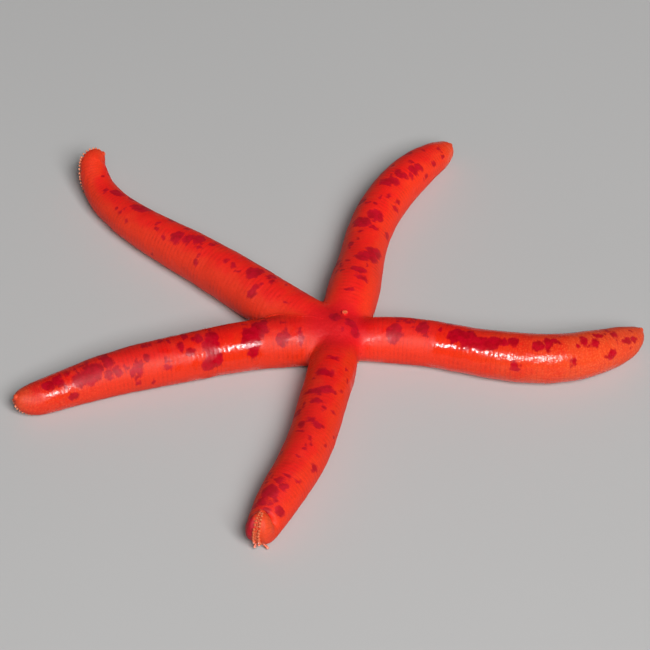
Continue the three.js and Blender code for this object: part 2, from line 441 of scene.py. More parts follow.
def patch(upper):
    """Five nets that fill the hole over the disc, or the one under it, as grids of point ids."""
    turn_in = 0 if upper else 2 * QUARTER
    centre = np.array([0, 0, disc_top if upper else SOLE_CENTRE])
    centre_id = new_points(centre)[0]
    spokes, spoke_places = [], []
    for name in NAMES:
        ring = ids[name][0]
        inner = ring[turn_in]
        edge = base[ring[: SIDE] if upper else ring[2 * QUARTER : QUARTER - 1 : -1]]
        run = np.concatenate([[0], np.cumsum(np.linalg.norm(np.diff(edge, axis=0), axis=1))])
        share = (run / run[-1])[::-1][:, None]
        line = centre + share * (base[inner] - centre)
        spokes.append(np.concatenate([[inner], new_points(line[1:-1]), [centre_id]]))
        spoke_places.append(line)
    nets = []
    for i, name in enumerate(NAMES):
        after = NAMES[(i + 1) % 5]
        own, other = ids[name][0], ids[after][0]
        if upper:
            along_u = own[:SIDE]
            along_v = np.concatenate([other[-QUARTER:], other[:1]])
        else:
            along_u = own[2 * QUARTER : QUARTER - 1 : -1]
            along_v = other[3 * QUARTER : 2 * QUARTER - 1 : -1]
        far_u = spokes[(i + 1) % 5][::-1]
        far_u_places = spoke_places[(i + 1) % 5][::-1]
        net = stretch(base[along_u], base[along_v], far_u_places, spoke_places[i])
        net_ids = np.zeros((SIDE, SIDE), int)
        net_ids[:, 0] = along_u
        net_ids[-1, :] = along_v
        net_ids[:, -1] = far_u
        net_ids[0, :] = spokes[i]
        filling = new_points(net[1:-1, 1:-1].reshape(-1, 3))
        net_ids[1:-1, 1:-1] = filling.reshape(SIDE - 2, SIDE - 2)
        nets.append(net_ids)
    return nets


top_nets, sole_nets = patch(True), patch(False)
points = np.vstack([base] + extra_places)
print(len(points), "points with the patches")

# %% Faces of the skin
def squares(grid):
    return np.stack([grid[:-1, :-1], grid[1:, :-1], grid[1:, 1:], grid[:-1, 1:]], -1).reshape(-1, 4)


faces = []
for name in NAMES:
    closed = np.hstack([ids[name], ids[name][:, :1]])
    faces.append(squares(closed))
faces += [squares(net) for net in top_nets]
faces += [squares(net)[:, ::-1] for net in sole_nets]
faces = np.vstack(faces)
used, faces = np.unique(faces, return_inverse=True)
faces = faces.reshape(-1, 4)
print(len(faces), "squares,", len(used), "points in use")

# %% [markdown]
# ## Pulling the nets onto the joined skin
# The nets lie near the skin but not on it. Pulling every point straight onto it would crowd
# the points in the crotches, so the pulls themselves are evened out between neighbours a
# few times, and only the last pulls land exactly.

# %% Pull the points near the disc
JOINED_WITHIN = 55
PULLS = dict(count=14, evened=10, kept=0.4)
LEAST_SLOPE = 0.25
points = points[used]
patch_count = made - sum(len(v.ravel()) for v in ids.values())
own_along = np.concatenate(alongs + [np.zeros(patch_count)])[used]
own_turn = np.concatenate(turns + [np.zeros(patch_count)])[used]
own_lift = np.vstack(lifts + [np.zeros((patch_count, 3))])[used]
own_arm = np.concatenate(arm_of + [np.full(patch_count, -1)])[used]
near = np.nonzero((own_arm < 0) | (own_along < JOINED_WITHIN))[0]
edges = np.vstack([faces[:, [0, 1]], faces[:, [1, 2]], faces[:, [2, 3]], faces[:, [3, 0]]])
edges = edges[np.isin(edges[:, 0], near) | np.isin(edges[:, 1], near)]


def neighbours_mean(values):
    total = np.zeros_like(values)
    for k in range(values.shape[1]):
        total[:, k] = np.bincount(edges[:, 1], values[edges[:, 0], k], len(values))
        total[:, k] += np.bincount(edges[:, 0], values[edges[:, 1], k], len(values))
    count = sum(np.bincount(edges[:, k], minlength=len(values)) for k in (0, 1))
    return total / np.maximum(count, 1)[:, None]


pull = np.zeros_like(points)
for turn in range(PULLS["count"]):
    gap, slope, say, measures = joined(points[near] + pull[near])
    steep = np.maximum((slope**2).sum(axis=1), LEAST_SLOPE)
    pull[near] -= slope * (gap / steep)[:, None]
    if turn < PULLS["evened"]:
        evened = neighbours_mean(pull)
        pull[near] = PULLS["kept"] * pull[near] + (1 - PULLS["kept"]) * evened[near]
points = points + pull
gap, slope, say, measures = joined(points[near])
print("furthest from the joined skin:", np.abs(gap).max().round(4), "mm, longest pull",
      np.linalg.norm(pull, axis=1).max().round(2), "mm")

# %% [markdown]
# ## Furrows and mouth
# A furrow runs under every arm to the mouth in the middle of the disc. Both are hollows in
# the sole, so the points of the sole are lifted into them. The mouth's lips are soft, and
# the five furrows break through them.

# %% Lift the sole into the furrows and the mouth
MOUTH = dict(lip=5.2, inside=3.6, depth=4.0)
UPPER_SIDE = 8
height = points[near, 2]
lift = np.zeros(len(near))
for along, sideways, upward, radius in measures:
    low_down = smooth_step(-upward / radius, 0.45, 0.7)
    under = np.where(along > 0.5, 1, 0) * low_down
    lift = np.maximum(lift, furrow_lift(sideways / radius) * radius * under)
from_middle = np.hypot(points[near, 0], points[near, 1])
hollow = MOUTH["depth"] * smooth_step(-from_middle, -MOUTH["lip"], -MOUTH["inside"])
lift = np.maximum(lift, np.where(height < UPPER_SIDE, hollow, 0))
own_lift[near] = 0
own_lift[near, 2] = lift
points += own_lift
print("deepest lift", lift.max().round(2), "mm")

# %% [markdown]
# ## Measures of every point of the skin
# Rings, rows and colours are laid out by arm. A point between two arms belongs a little to
# both, so its measures are kept for each arm together with that arm's say.

# %% Gather the measures
arm_say = np.zeros((5, len(points)))
arm_along = np.zeros((5, len(points)))
arm_turn = np.zeros((5, len(points)))
arm_radius = np.ones((5, len(points)))
for i, name in enumerate(NAMES):
    mine = own_arm == i
    arm_say[i, mine] = 1
    arm_along[i, mine] = own_along[mine]
    arm_turn[i, mine] = own_turn[mine]
    arm_radius[i, mine] = full_radius(ARMS[name], own_along[mine])
    along, sideways, upward, radius = measures[i]
    arm_say[i, near] = say[i]
    arm_along[i, near] = along
    arm_turn[i, near] = np.arctan2(sideways, upward)
    arm_radius[i, near] = radius
print("points shared by two arms:", int((arm_say.max(axis=0) < 0.9).sum()))

# %% Ready helpers for relief
def normals_of(points):
    """Outward direction at every point of the skin."""
    a, b, c, d = (points[faces[:, k]] for k in range(4))
    flat = np.cross(c - a, d - b)
    total = np.zeros_like(points)
    for k in range(4):
        for axis in range(3):
            total[:, axis] += np.bincount(faces[:, k], flat[:, axis], len(points))
    return total / np.maximum(np.linalg.norm(total, axis=1), 1e-12)[:, None]


def clouds(points, size, seed, waves=28):
    """Soft seeded unevenness between about -1 and 1, with lumps of about the given size."""
    rng = np.random.default_rng(seed)
    ways = rng.normal(size=(waves, 3))
    per_mm = (2 * math.pi / size) * rng.uniform(0.5, 1.5, (waves, 1))
    ways *= per_mm / np.linalg.norm(ways, axis=1)[:, None]
    return np.sin(points @ ways.T + rng.uniform(0, 6.3, waves)).sum(axis=1) / math.sqrt(waves)


print("sole faces down:", normals_of(points)[np.argmin(points[:, 2])].round(2))

# %% [markdown]
# ## Relief of the skin
# The skin is smooth and finely granular. The rings of plates show through it as shallow
# grooves, and between neighbouring plates lie small sunken fields of breathing pores. A
# Displace modifier could carve them, but its texture wouldn't know where the plates are, so
# the points are moved in code by the ring and the row in which they lie.

# %% Ring and row of every point
ROW = math.radians(33)
GROOVE = dict(width=0.15, depth=0.06, pores=0.03)
DISC_REACH = (9, 19)
arm_ring = np.zeros_like(arm_along)
for i, name in enumerate(NAMES):
    arm_ring[i] = np.interp(arm_along[i], *plates_counted(ARMS[name]))
own = arm_say.argmax(axis=0)
every = np.arange(len(points))
ring, row = arm_ring[own, every], arm_turn[own, every] / ROW
along, around = arm_along[own, every], arm_turn[own, every]
lengths = np.array([arm["length"] for arm in ARMS.values()])
to_end = lengths[own] - along
on_disc = 1 - smooth_step(np.hypot(points[:, 0], points[:, 1]), *DISC_REACH)
print("rings of plates on an arm:", ring.max().round(1))

# %% Grooves, pore fields and soft unevenness
UNEVENNESS = [(0.10, 15, 1), (0.035, 4, 2), (0.012, 1.7, 3)]
DEEPEST = -0.45
PROUDEST = 0.12


def plate_relief(ring, turn):
    across = ring - np.round(ring)
    groove = np.exp(-(across / GROOVE["width"]) ** 2)
    between_rows = 0.5 - 0.5 * np.cos(2 * math.pi * turn / ROW)
    pores = GROOVE["pores"] * between_rows
    return -GROOVE["depth"] * groove * (0.5 + 0.5 * between_rows) - pores


relief = sum(say * plate_relief(r, t) for say, r, t in zip(arm_say, arm_ring, arm_turn))
relief *= (1 - on_disc) * smooth_step(to_end, 0.5, 5)
relief += sum(height * clouds(points, size, seed) for height, size, seed in UNEVENNESS)
relief = np.clip(relief, DEEPEST, PROUDEST) - PROUDEST
print("relief from", relief.min().round(2), "to", relief.max().round(2), "mm")

# %% [markdown]
# The plates of the disc stand in no rows: they are an uneven mosaic. Seeds are scattered at
# a plate's distance from each other, and a groove lies wherever two seeds are equally near.

# %% A mosaic of plates on the disc
MOSAIC = dict(spacing=2.3, reach=20, seed=5)
MOSAIC_GROOVE = dict(width=0.55, depth=0.05)
ROW_SPACING = 0.87
JITTER = 0.18


def mosaic(spacing, reach, seed):
    rng = np.random.default_rng(seed)
    count = int(reach / spacing) + 1
    u, v = np.meshgrid(np.arange(-count, count + 1), np.arange(-count, count + 1))
    seeds = np.stack([(u + 0.5 * (v % 2)).ravel(), (v * ROW_SPACING).ravel()], 1) * spacing
    return seeds + rng.normal(scale=JITTER * spacing, size=seeds.shape)


seeds = mosaic(**MOSAIC)
top_of_disc = np.nonzero((on_disc > 0) & (points[:, 2] > UPPER_SIDE))[0]
apart = np.linalg.norm(points[top_of_disc, None, :2] - seeds[None], axis=2)
apart.partition(1, axis=1)
cell_groove = np.exp(-((apart[:, 1] - apart[:, 0]) / MOSAIC_GROOVE["width"]) ** 2)
relief[top_of_disc] -= MOSAIC_GROOVE["depth"] * cell_groove * on_disc[top_of_disc]
points += normals_of(points) * relief[:, None]
print(len(seeds), "seeds,", len(top_of_disc), "points on the disc")

# %% [markdown]
# ## Crimson blotches
# The back is dappled with crimson blotches, mostly wider across the arm than along it, with ragged edges.
# Painted on an image they would turn blurred from close by. Here each blotch is placed as a biologist would
# note it: how far along, how far round towards the left in degrees, and half its width and half its length
# in millimetres. The last entry of the front arm is no blotch but painted shade, on the side of its curled
# end that faces away from the light.

# %% The blotches of every arm
BLOTCHES = {
    "right": [
        (26, -26, 4, 3.2), (39, -4, 3.2, 2.2), (47, 0, 1.1, 0.9), (55, -12, 3.2, 3), (61, -18, 4, 3.6),
        (67, -22, 3, 3.4), (72, -18, 3, 3), (77, -14, 1.8, 2), (81, -8, 2.2, 1.4), (83, -68, 1.8, 1.6),
        (92, -16, 2.6, 2.2), (97, -10, 3, 1.8), (100, 0, 1.5, 1.2), (106, -58, 1.4, 0.9),
        (113, -6, 2.4, 1.4), (118, -20, 1.6, 1.6), (121, 0, 1.5, 1.3), (123, -62, 1.8, 2),
        (129, -8, 1.4, 1.1), (134, -36, 1.6, 2), (138, -44, 1.4, 1.6), (50, 48, 3.4, 2.6),
        (70, 62, 2.8, 2), (97, 50, 2.4, 2.8), (33, 60, 1.8, 1.4), (114, 58, 2, 1.6)],
    "back_right": [
        (22, -2, 1.4, 0.9), (31, -20, 2.6, 1.4), (36, -8, 3.6, 1.9), (45, -8, 2.8, 1.5), (48, -26, 4, 2.4),
        (53, -38, 4, 3), (56, 27, 1.3, 1), (70, -22, 1.9, 1.5), (71, -66, 1.8, 1.5), (72, 18, 4, 2.8),
        (78, -12, 3.4, 3.2), (90, -56, 1.9, 1.1), (95, -50, 1.1, 1.3), (102, 8, 3, 2.4),
        (105, -8, 2.8, 2.2), (111, -10, 3.2, 1.6), (114, -38, 1.1, 1.1), (118, -28, 2.4, 2),
        (122, -36, 2, 1.8), (122, -7, 1.2, 1), (124, -70, 1.1, 1.1), (133, -54, 1.2, 1.4),
        (142, -57, 0.9, 1.2), (44, 58, 2.6, 2), (88, 48, 2.4, 2), (128, 34, 1.8, 1.8)],
    "back_left": [
        (40, -8, 1.2, 0.9), (43, -20, 1.8, 1.3), (44, 36, 2.8, 1.7), (51, -2, 3.8, 3.2), (62, 10, 1.2, 1.1),
        (66, 10, 0.9, 0.8), (80, -9, 1.1, 1), (80, 51, 1, 0.8), (87, -8, 3, 2), (91, 4, 2.8, 1.8),
        (97, 16, 3.1, 2.8), (103, 36, 0.9, 0.9), (109, 25, 0.9, 0.8), (125, -18, 3, 3), (129, -12, 1.4, 1.4),
        (144, -16, 2.2, 3), (150, 6, 0.8, 1.2), (161, 6, 0.7, 0.8), (60, -52, 3, 2.4),
        (76, -58, 2.2, 1.8), (108, -46, 3.2, 2.6), (136, -44, 2, 2)],
    "left": [
        (18, 38, 2.8, 1.1), (25, 30, 2.8, 1.6), (27, 42, 2.4, 2), (37, 8, 4.4, 3.4), (41, 28, 5, 4),
        (41, 56, 3.6, 2.4), (34, -14, 2.4, 1.4), (59, 12, 4, 2.4), (61, 32, 4, 2.6), (60, 56, 4.2, 3.6),
        (63, 74, 3, 2.8), (65, 2, 2.1, 1.6), (70, 36, 1.3, 1.9), (71, -17, 2.1, 1.3), (74, 14, 2.1, 1),
        (82, 58, 1.3, 1.3), (82, -22, 1.5, 1.2), (90, 92, 1.1, 0.9), (90, -16, 1.1, 0.9), (91, 26, 1.7, 1.2),
        (95, 44, 3.2, 1.8), (98, 50, 2, 1.4), (96, 83, 1.3, 0.9), (105, 42, 2, 1.8), (109, 42, 1.5, 1.2),
        (108, 0, 4, 2), (114, 22, 3.4, 2.6), (118, 26, 4, 3), (123, 32, 3, 2.4), (117, -16, 1.2, 1),
        (127, -4, 1.4, 1), (127, 74, 1.6, 1.6), (130, 36, 0.9, 0.9), (132, 8, 2.6, 2.2),
        (137, 16, 2.2, 2.6), (52, -48, 3, 2.2), (97, -52, 2.6, 2.4)],
    "front": [
        (22, 6, 2.1, 1.1), (32, -5, 3.2, 1.9), (42, 12, 3.4, 1.6), (44, -14, 4, 1.7), (50, -3, 2.6, 1.3),
        (62, -4, 1.6, 1.2), (64, 17, 2, 1.5), (65, -22, 1.6, 1.2), (63, 72, 0.7, 0.6), (70, 56, 0.6, 0.6),
        (69, -18, 1.4, 0.9), (96, 10, 1.1, 0.8), (100, -2, 1.4, 0.9), (102, 16, 1.4, 1.4),
        (107, -10, 3.4, 2.6), (109, 18, 0.9, 0.8), (112, -24, 2.2, 1.4), (112, 8, 1, 0.8),
        (116, 4, 1.3, 1), (113, 46, 2.2, 1.9), (114, -48, 1.8, 1.2), (56, -54, 2.2, 1.8),
        # The last entry here is painted shade: it darkens the side of the curled end that faces away from
        # the light.
        (84, 62, 1.8, 1.5), (124, -128, 3.5, 7)],
}
DISC_BLOTCHES = [(-1.4, 3.2, 2.4, 2.1), (5.2, 0.4, 2.2, 2.4), (7.4, -3.2, 2, 3.2), (1.6, -3.8, 0.7, 0.7)]
print(sum(len(v) for v in BLOTCHES.values()) + len(DISC_BLOTCHES), "blotches placed")

# %% [markdown]
# The ragged edge eats into a blotch, so each is drawn a little larger than it was noted.
# Small specks are scattered between the blotches. What is kept for every point of the skin is
# how deep inside the nearest blotch it lies, and the finish draws the edge from that.

# %% Depth inside the nearest blotch, in millimetres
SPECKS = dict(count=34, start=24, end=8, spread=36, sizes=(0.35, 0.8))
DRAWN_LARGER = dict(across=1.18, along=1.12)
BLOTCH_REACH = 9
rng = np.random.default_rng(11)
blotch = np.full(len(points), -3.0)


def ragged_shift(seed):
    return 0.55 * clouds(points, 7, seed) + 0.3 * clouds(points, 2.6, seed + 1)


warp_along, warp_across = ragged_shift(21), ragged_shift(23)


def keep_deepest(mine, across, onward, half_width, half_length):
    out = np.hypot((across + warp_across[mine]) / half_width, (onward + warp_along[mine]) / half_length)
    blotch[mine] = np.maximum(blotch[mine], (1 - out) * min(half_width, half_length))


def add_blotch(i, place_along, turn, half_width, half_length):
    mine = np.nonzero((arm_say[i] > 0.5) & (np.abs(arm_along[i] - place_along) < BLOTCH_REACH))[0]
    across = (arm_turn[i, mine] - math.radians(turn)) * arm_radius[i, mine]
    onward = arm_along[i, mine] - place_along
    keep_deepest(mine, across, onward, DRAWN_LARGER["across"] * half_width,
                 DRAWN_LARGER["along"] * half_length)


for i, name in enumerate(NAMES):
    last = ARMS[name]["length"] - SPECKS["end"]
    specks = [(rng.uniform(SPECKS["start"], last), rng.normal(0, SPECKS["spread"]),
               *rng.uniform(*SPECKS["sizes"], 2)) for _ in range(SPECKS["count"])]
    for spot in BLOTCHES[name] + specks:
        add_blotch(i, *spot)
upper_disc = (on_disc > 0) & (points[:, 2] > UPPER_SIDE)
for x, y, half_x, half_y in DISC_BLOTCHES:
    out = np.hypot((points[:, 0] - x + warp_along) / half_x, (points[:, 1] - y + warp_across) / half_y)
    depth = (1 - out) * min(half_x, half_y)
    blotch[upper_disc] = np.maximum(blotch, depth)[upper_disc]
print("share of the skin under blotches:", (blotch > 0).mean().round(3))

# %% [markdown]
# ## The skin as a mesh
# The measures go onto the mesh as attributes, so that the finish can be laid out by ring,
# row, flank and end with crisp edges however coarse the net is.

# %% A mesh from points and faces
def mesh_from(name, points, faces):
    sides = faces.shape[1]
    mesh = bpy.data.meshes.new(name)
    mesh.vertices.add(len(points))
    mesh.vertices.foreach_set("co", ((points + MIDDLE) * MM).astype(np.float32).ravel())
    mesh.loops.add(faces.size)
    mesh.loops.foreach_set("vertex_index", faces.astype(np.int32).ravel())
    mesh.polygons.add(len(faces))
    mesh.polygons.foreach_set("loop_start", np.arange(0, faces.size, sides, dtype=np.int32))
    mesh.polygons.foreach_set("use_smooth", np.ones(len(faces), bool))
    mesh.update(calc_edges=True)
    return mesh


def note(mesh, name, values):
    attribute = mesh.attributes.new(name, "FLOAT", "POINT")
    attribute.data.foreach_set("value", np.asarray(values, np.float32))


def place(name, mesh, slot, *replaced):
    piece = bpy.data.objects.new(name, mesh)
    bpy.context.scene.collection.objects.link(piece)
    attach(piece, "root")
    if replaced:
        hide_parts(*replaced)
    print(name, "has", len(mesh.polygons), "faces")


skin_mesh = mesh_from("skin", points, faces)
flesh = ["disc"] + [f"arm_{name}_{part}" for name in NAMES for part in ("base", "middle", "tip")]
place("skin", skin_mesh, "skin", *flesh)

# %% [markdown]
# ## How the arms differ towards their ends
# On the right arm the skin turns orange, and its granules coarser, over more than half its length. On the
# others only the last stretch does. For each arm: the length over which it happens, and how strongly. The
# film of water still stands on some stretches and has run off others: WET gives where each stretch starts
# and ends along the arm, and how wet it is. Each arm, in the order of ARMS, also gets a tone that paints it
# a little lighter or darker. This is painted light: it lifts the back arms and dims the left and front ones.
# Where the front arm curls over, its sole is narrower on the arm's right side, and the skin
# there keeps the red of the back.

# %% Where the skin is ripe, coarse or wet, and each arm's painted light
ENDS = {
    "right": dict(orange=(95, 0.9), grain=(110, 1.0)),
    "back_right": dict(orange=(18, 0.7), grain=(40, 0.45)),
    "back_left": dict(orange=(5, 0.3), grain=(30, 0.3)),
    "left": dict(orange=(10, 0.6), grain=(70, 0.6)),
    "front": dict(orange=(18, 0.8), grain=(40, 0.35)),
}
WET = {
    "right": [(6, 26, 0.45), (46, 125, 1.2), (138, 146, 0.6)],
    "back_right": [(142, 152, 0.8), (60, 120, 0.2)],
    "back_left": [(40, 120, 0.1)],
    "left": [(16, 24, 0.6), (36, 62, 0.78), (62, 86, 0.5), (124, 142, 0.7)],
    "front": [(14, 40, 0.4)],
}
WET_EDGE = 7
# Painted light: how much lighter each arm is painted, in the order of ARMS.
PAINTED_ARM_LIGHT = [0, 0.10, 0.08, -0.07, -0.05]
CURL = dict(arm="front", full=14, none=24, narrower=28, redder=0.8)

# %% Notes on the skin
furrow_share = smooth_step(np.linalg.norm(own_lift, axis=1), 0.05, 0.8)
curled_side = (own == NAMES.index(CURL["arm"])) * (around < 0)
curled_side = curled_side * (1 - smooth_step(to_end, CURL["full"], CURL["none"]))
sole_share = smooth_step(np.degrees(np.abs(around)) - CURL["narrower"] * curled_side, 132, 149)
under_disc = (on_disc > 0) & (points[:, 2] < 6)
sole_share[under_disc] = np.maximum(sole_share, on_disc)[under_disc]
ripe, grainy, wet = (np.zeros(len(points)) for _ in range(3))
for i, name in enumerate(NAMES):
    reach, amount = ENDS[name]["orange"]
    uneven_end = to_end + 0.12 * reach * clouds(points, 9, 71)
    amount = amount * (1 - smooth_step(uneven_end, 0, reach)) * (1 - CURL["redder"] * curled_side)
    ripe = np.where(own == i, amount, ripe)
    reach, amount = ENDS[name]["grain"]
    grainy = np.where(own == i, amount * (1 - smooth_step(to_end, 0.2 * reach, reach)), grainy)
    for start, end, amount in WET[name]:
        here = smooth_step(along, start - WET_EDGE, start + WET_EDGE)
        here = here * (1 - smooth_step(along, end - WET_EDGE, end + WET_EDGE))
        wet = np.where(own == i, np.maximum(wet, amount * here), wet)
flank = np.cos(around)
on_top = np.maximum(flank, on_disc * np.sign(points[:, 2] - UPPER_SIDE))
# The last note carries each arm's painted light, blended where the arms meet.
notes = {"ring": ring, "row": row, "flank": np.where(on_disc > 0, on_top, flank),
         "on_disc": on_disc, "blotch": blotch, "furrow": furrow_share, "sole": sole_share,
         "ripe": ripe, "grainy": grainy, "wet": wet,
         "painted_arm_light": sum(say * tone for say, tone in zip(arm_say, PAINTED_ARM_LIGHT))}
for name, values in notes.items():
    note(skin_mesh, name, values)
print("notes:", ", ".join(notes))

# %% [markdown]
# ## Small helpers for finishes
# A finish is a net of shader nodes. These helpers add a node, set its sockets from numbers
# or from other nodes, and keep the recipes below readable.

# %% Helpers for shader nodes
def add(tree, kind, sockets=None, **settings):
    made = tree.nodes.new(kind)
    for name, value in settings.items():
        setattr(made, name, value)
    for name, value in (sockets or {}).items():
        socket = made.inputs[name]
        if isinstance(value, bpy.types.NodeSocket):
            tree.links.new(value, socket)
        else:
            socket.default_value = value
    return made


def calc(tree, operation, *values):
    return add(tree, "ShaderNodeMath", dict(enumerate(values)), operation=operation).outputs[0]


def ramp(tree, value, start, end):
    """0 before start, 1 past end, smooth between. start may be the larger one."""
    low, high = sorted((start, end))
    flipped = start > end
    made = add(tree, "ShaderNodeMapRange", {"Value": value, "From Min": low, "From Max": high,
                                            "To Min": float(flipped), "To Max": float(not flipped)},
               interpolation_type="SMOOTHSTEP")
    return made.outputs["Result"]


def blend(tree, share, first, second, kind="MIX"):
    made = add(tree, "ShaderNodeMix", data_type="RGBA", blend_type=kind)
    for socket, value in zip((made.inputs[0], made.inputs[6], made.inputs[7]), (share, first, second)):
        if isinstance(value, bpy.types.NodeSocket):
            tree.links.new(value, socket)
        elif isinstance(value, tuple):
            socket.default_value = (*value, 1)
        else:
            socket.default_value = value
    return made.outputs[2]


def noted(tree, name):
    return add(tree, "ShaderNodeAttribute", attribute_name=name).outputs["Fac"]


def cloud(tree, where, size, detail=2.0):
    made = add(tree, "ShaderNodeTexNoise", {"Vector": where, "Scale": 1 / size, "Detail": detail})
    return made.outputs["Fac"]


def times(tree, first, second):
    return calc(tree, "MULTIPLY", first, second)


def toned(tree, colour, tone):
    """The colour, made darker or lighter by a tone around one."""
    grey = add(tree, "ShaderNodeCombineColor", {"Red": tone, "Green": tone, "Blue": tone}).outputs[0]
    return blend(tree, 1.0, colour, grey, "MULTIPLY")


def lay_on(tree, shader, colour, rough, height, strength, depth):
    """Give a finish its colour, its roughness and a relief of this depth in metres."""
    tree.links.new(colour, shader.inputs["Base Color"])
    tree.links.new(rough, shader.inputs["Roughness"])
    bump = add(tree, "ShaderNodeBump", {"Height": height, "Strength": strength, "Distance": depth})
    tree.links.new(bump.outputs["Normal"], shader.inputs["Normal"])


def new_finish(name):
    finish = bpy.data.materials.new(name)
    finish.use_nodes = True
    tree = finish.node_tree
    where = add(tree, "ShaderNodeTexCoord").outputs["Object"]
    return finish, tree, tree.nodes["Principled BSDF"], where


print("helpers ready")

# %% [markdown]
# ## Granules
# Under a lens the whole star is paved with tiny round granules, about a third of a
# millimetre across, on the skin and on its hard plates alike. They are too small for the
# mesh, and shared by several finishes, so they are a node group. Each granule is a cell of
# a Voronoi pattern: high in its middle, low along its edge.

# %% The granule group
def granule_group():
    group = bpy.data.node_groups.new("granules", "ShaderNodeTree")
    face = group.interface
    face.new_socket("Place", in_out="INPUT", socket_type="NodeSocketVector")
    size = face.new_socket("Per metre", in_out="INPUT", socket_type="NodeSocketFloat")
    size.default_value = 3000
    face.new_socket("Height", in_out="OUTPUT", socket_type="NodeSocketFloat")
    face.new_socket("Crown", in_out="OUTPUT", socket_type="NodeSocketFloat")
    face.new_socket("Shade", in_out="OUTPUT", socket_type="NodeSocketFloat")
    inside = add(group, "NodeGroupInput")
    cells = add(group, "ShaderNodeTexVoronoi", {"Vector": inside.outputs["Place"],
                                                "Scale": inside.outputs["Per metre"], "Randomness": 0.8})
    height = ramp(group, cells.outputs["Distance"], 0.62, 0.05)
    crown = ramp(group, cells.outputs["Distance"], 0.3, 0.08)
    shade = add(group, "ShaderNodeSeparateColor", {"Color": cells.outputs["Color"]}).outputs["Red"]
    out = add(group, "NodeGroupOutput")
    for name, value in (("Height", height), ("Crown", crown), ("Shade", shade)):
        group.links.new(value, out.inputs[name])
    return group


GRANULES = granule_group()


def granules(tree, where, size):
    made = add(tree, "ShaderNodeGroup", node_tree=GRANULES)
    tree.links.new(where, made.inputs["Place"])
    made.inputs["Per metre"].default_value = 1 / size
    return made.outputs["Height"], made.outputs["Crown"], made.outputs["Shade"]


print("granule group:", len(GRANULES.nodes), "nodes")

# %% [markdown]
# ## The finish of the skin
# The back is a strong orange-red that turns more orange down the flanks and towards the
# ends, and more crimson on the disc. Fine dark lines lie between the rings of plates, and
# the blotches are deep crimson. At the coarse ends larger granules show as orange beads.
# Where a film of water stands the gloss is sharp, and elsewhere it is dull. A clear coat over
# the skin would veil its colour, so the film only smooths the skin's own gloss. Granules and
# low tubercles break the lights up, most of all where the skin is coarse.

# %% Colours of the skin
RED = (0.86, 0.011, 0.007)
ORANGE = (0.86, 0.034, 0.008)
END_ORANGE = (0.87, 0.088, 0.021)
DISC_RED = (0.72, 0.005, 0.009)
CRIMSON = (0.54, 0.0004, 0.015)
DEEP_CRIMSON = (0.43, 0.0003, 0.010)
GROOVE_RED = (0.50, 0.008, 0.006)
GRAIN_ORANGE = (0.95, 0.15, 0.04)
BEAD_ORANGE = (0.93, 0.17, 0.045)
SOLE_ORANGE = (0.83, 0.058, 0.012)
FURROW_ORANGE = (0.66, 0.06, 0.015)


def skin_colour(tree, where, crown, shade, beads):
    uneven = cloud(tree, where, 0.006)
    flank = calc(tree, "ADD", noted(tree, "flank"), times(tree, uneven, 0.5))
    colour = blend(tree, ramp(tree, flank, 1.3, 0.9), RED, ORANGE)
    colour = blend(tree, noted(tree, "ripe"), colour, END_ORANGE)
    colour = blend(tree, noted(tree, "on_disc"), colour, DISC_RED)
    wander = times(tree, cloud(tree, where, 0.0022), 0.22)
    across = calc(tree, "PINGPONG", calc(tree, "ADD", noted(tree, "ring"), wander), 0.5)
    off_row = calc(tree, "PINGPONG", noted(tree, "row"), 0.5)
    line = ramp(tree, across, 0.17, 0.03)
    pores = times(tree, ramp(tree, across, 0.36, 0.1), ramp(tree, off_row, 0.22, 0.45))
    dark = calc(tree, "MAXIMUM", times(tree, line, 0.24), times(tree, pores, 0.30))
    dark = times(tree, dark, ramp(tree, cloud(tree, where, 0.012), 0.35, 0.6))
    dark = times(tree, dark, calc(tree, "SUBTRACT", 1.0, noted(tree, "on_disc")))
    colour = blend(tree, dark, colour, GROOVE_RED)
    grainy = noted(tree, "grainy")
    grain = times(tree, crown, calc(tree, "MULTIPLY_ADD", grainy, 0.32, 0.05))
    colour = blend(tree, grain, colour, GRAIN_ORANGE)
    colour = blend(tree, times(tree, beads, times(tree, grainy, 0.34)), colour, BEAD_ORANGE)
    gaps = calc(tree, "SUBTRACT", 1.0, beads)
    colour = blend(tree, times(tree, gaps, times(tree, grainy, 0.18)), colour, GROOVE_RED)
    ragged = calc(tree, "MULTIPLY_ADD", cloud(tree, where, 0.0014, 4), 1.5, -0.6)
    ragged = calc(tree, "MULTIPLY_ADD", line, 0.25, ragged)
    ragged = calc(tree, "ADD", noted(tree, "blotch"), ragged)
    deep = blend(tree, ramp(tree, cloud(tree, where, 0.003), 0.4, 0.65), CRIMSON, DEEP_CRIMSON)
    solid = calc(tree, "MULTIPLY_ADD", cloud(tree, where, 0.0009), 0.3, 0.8)
    solid = calc(tree, "MINIMUM", solid, 0.98)
    colour = blend(tree, times(tree, ramp(tree, ragged, -0.6, 0.5), solid), colour, deep)
    colour = blend(tree, noted(tree, "sole"), colour, SOLE_ORANGE)
    colour = blend(tree, noted(tree, "furrow"), colour, FURROW_ORANGE)
    # The granules' random tone, plus each arm's painted light.
    tone = calc(tree, "ADD", calc(tree, "MULTIPLY_ADD", shade, 0.14, 0.92), noted(tree, "painted_arm_light"))
    return toned(tree, colour, tone)


# %% Wet skin
GLOSS = dict(dry=0.60, film=-0.46, coarse_film=0.13)
RELIEF_DEPTH = 0.00008


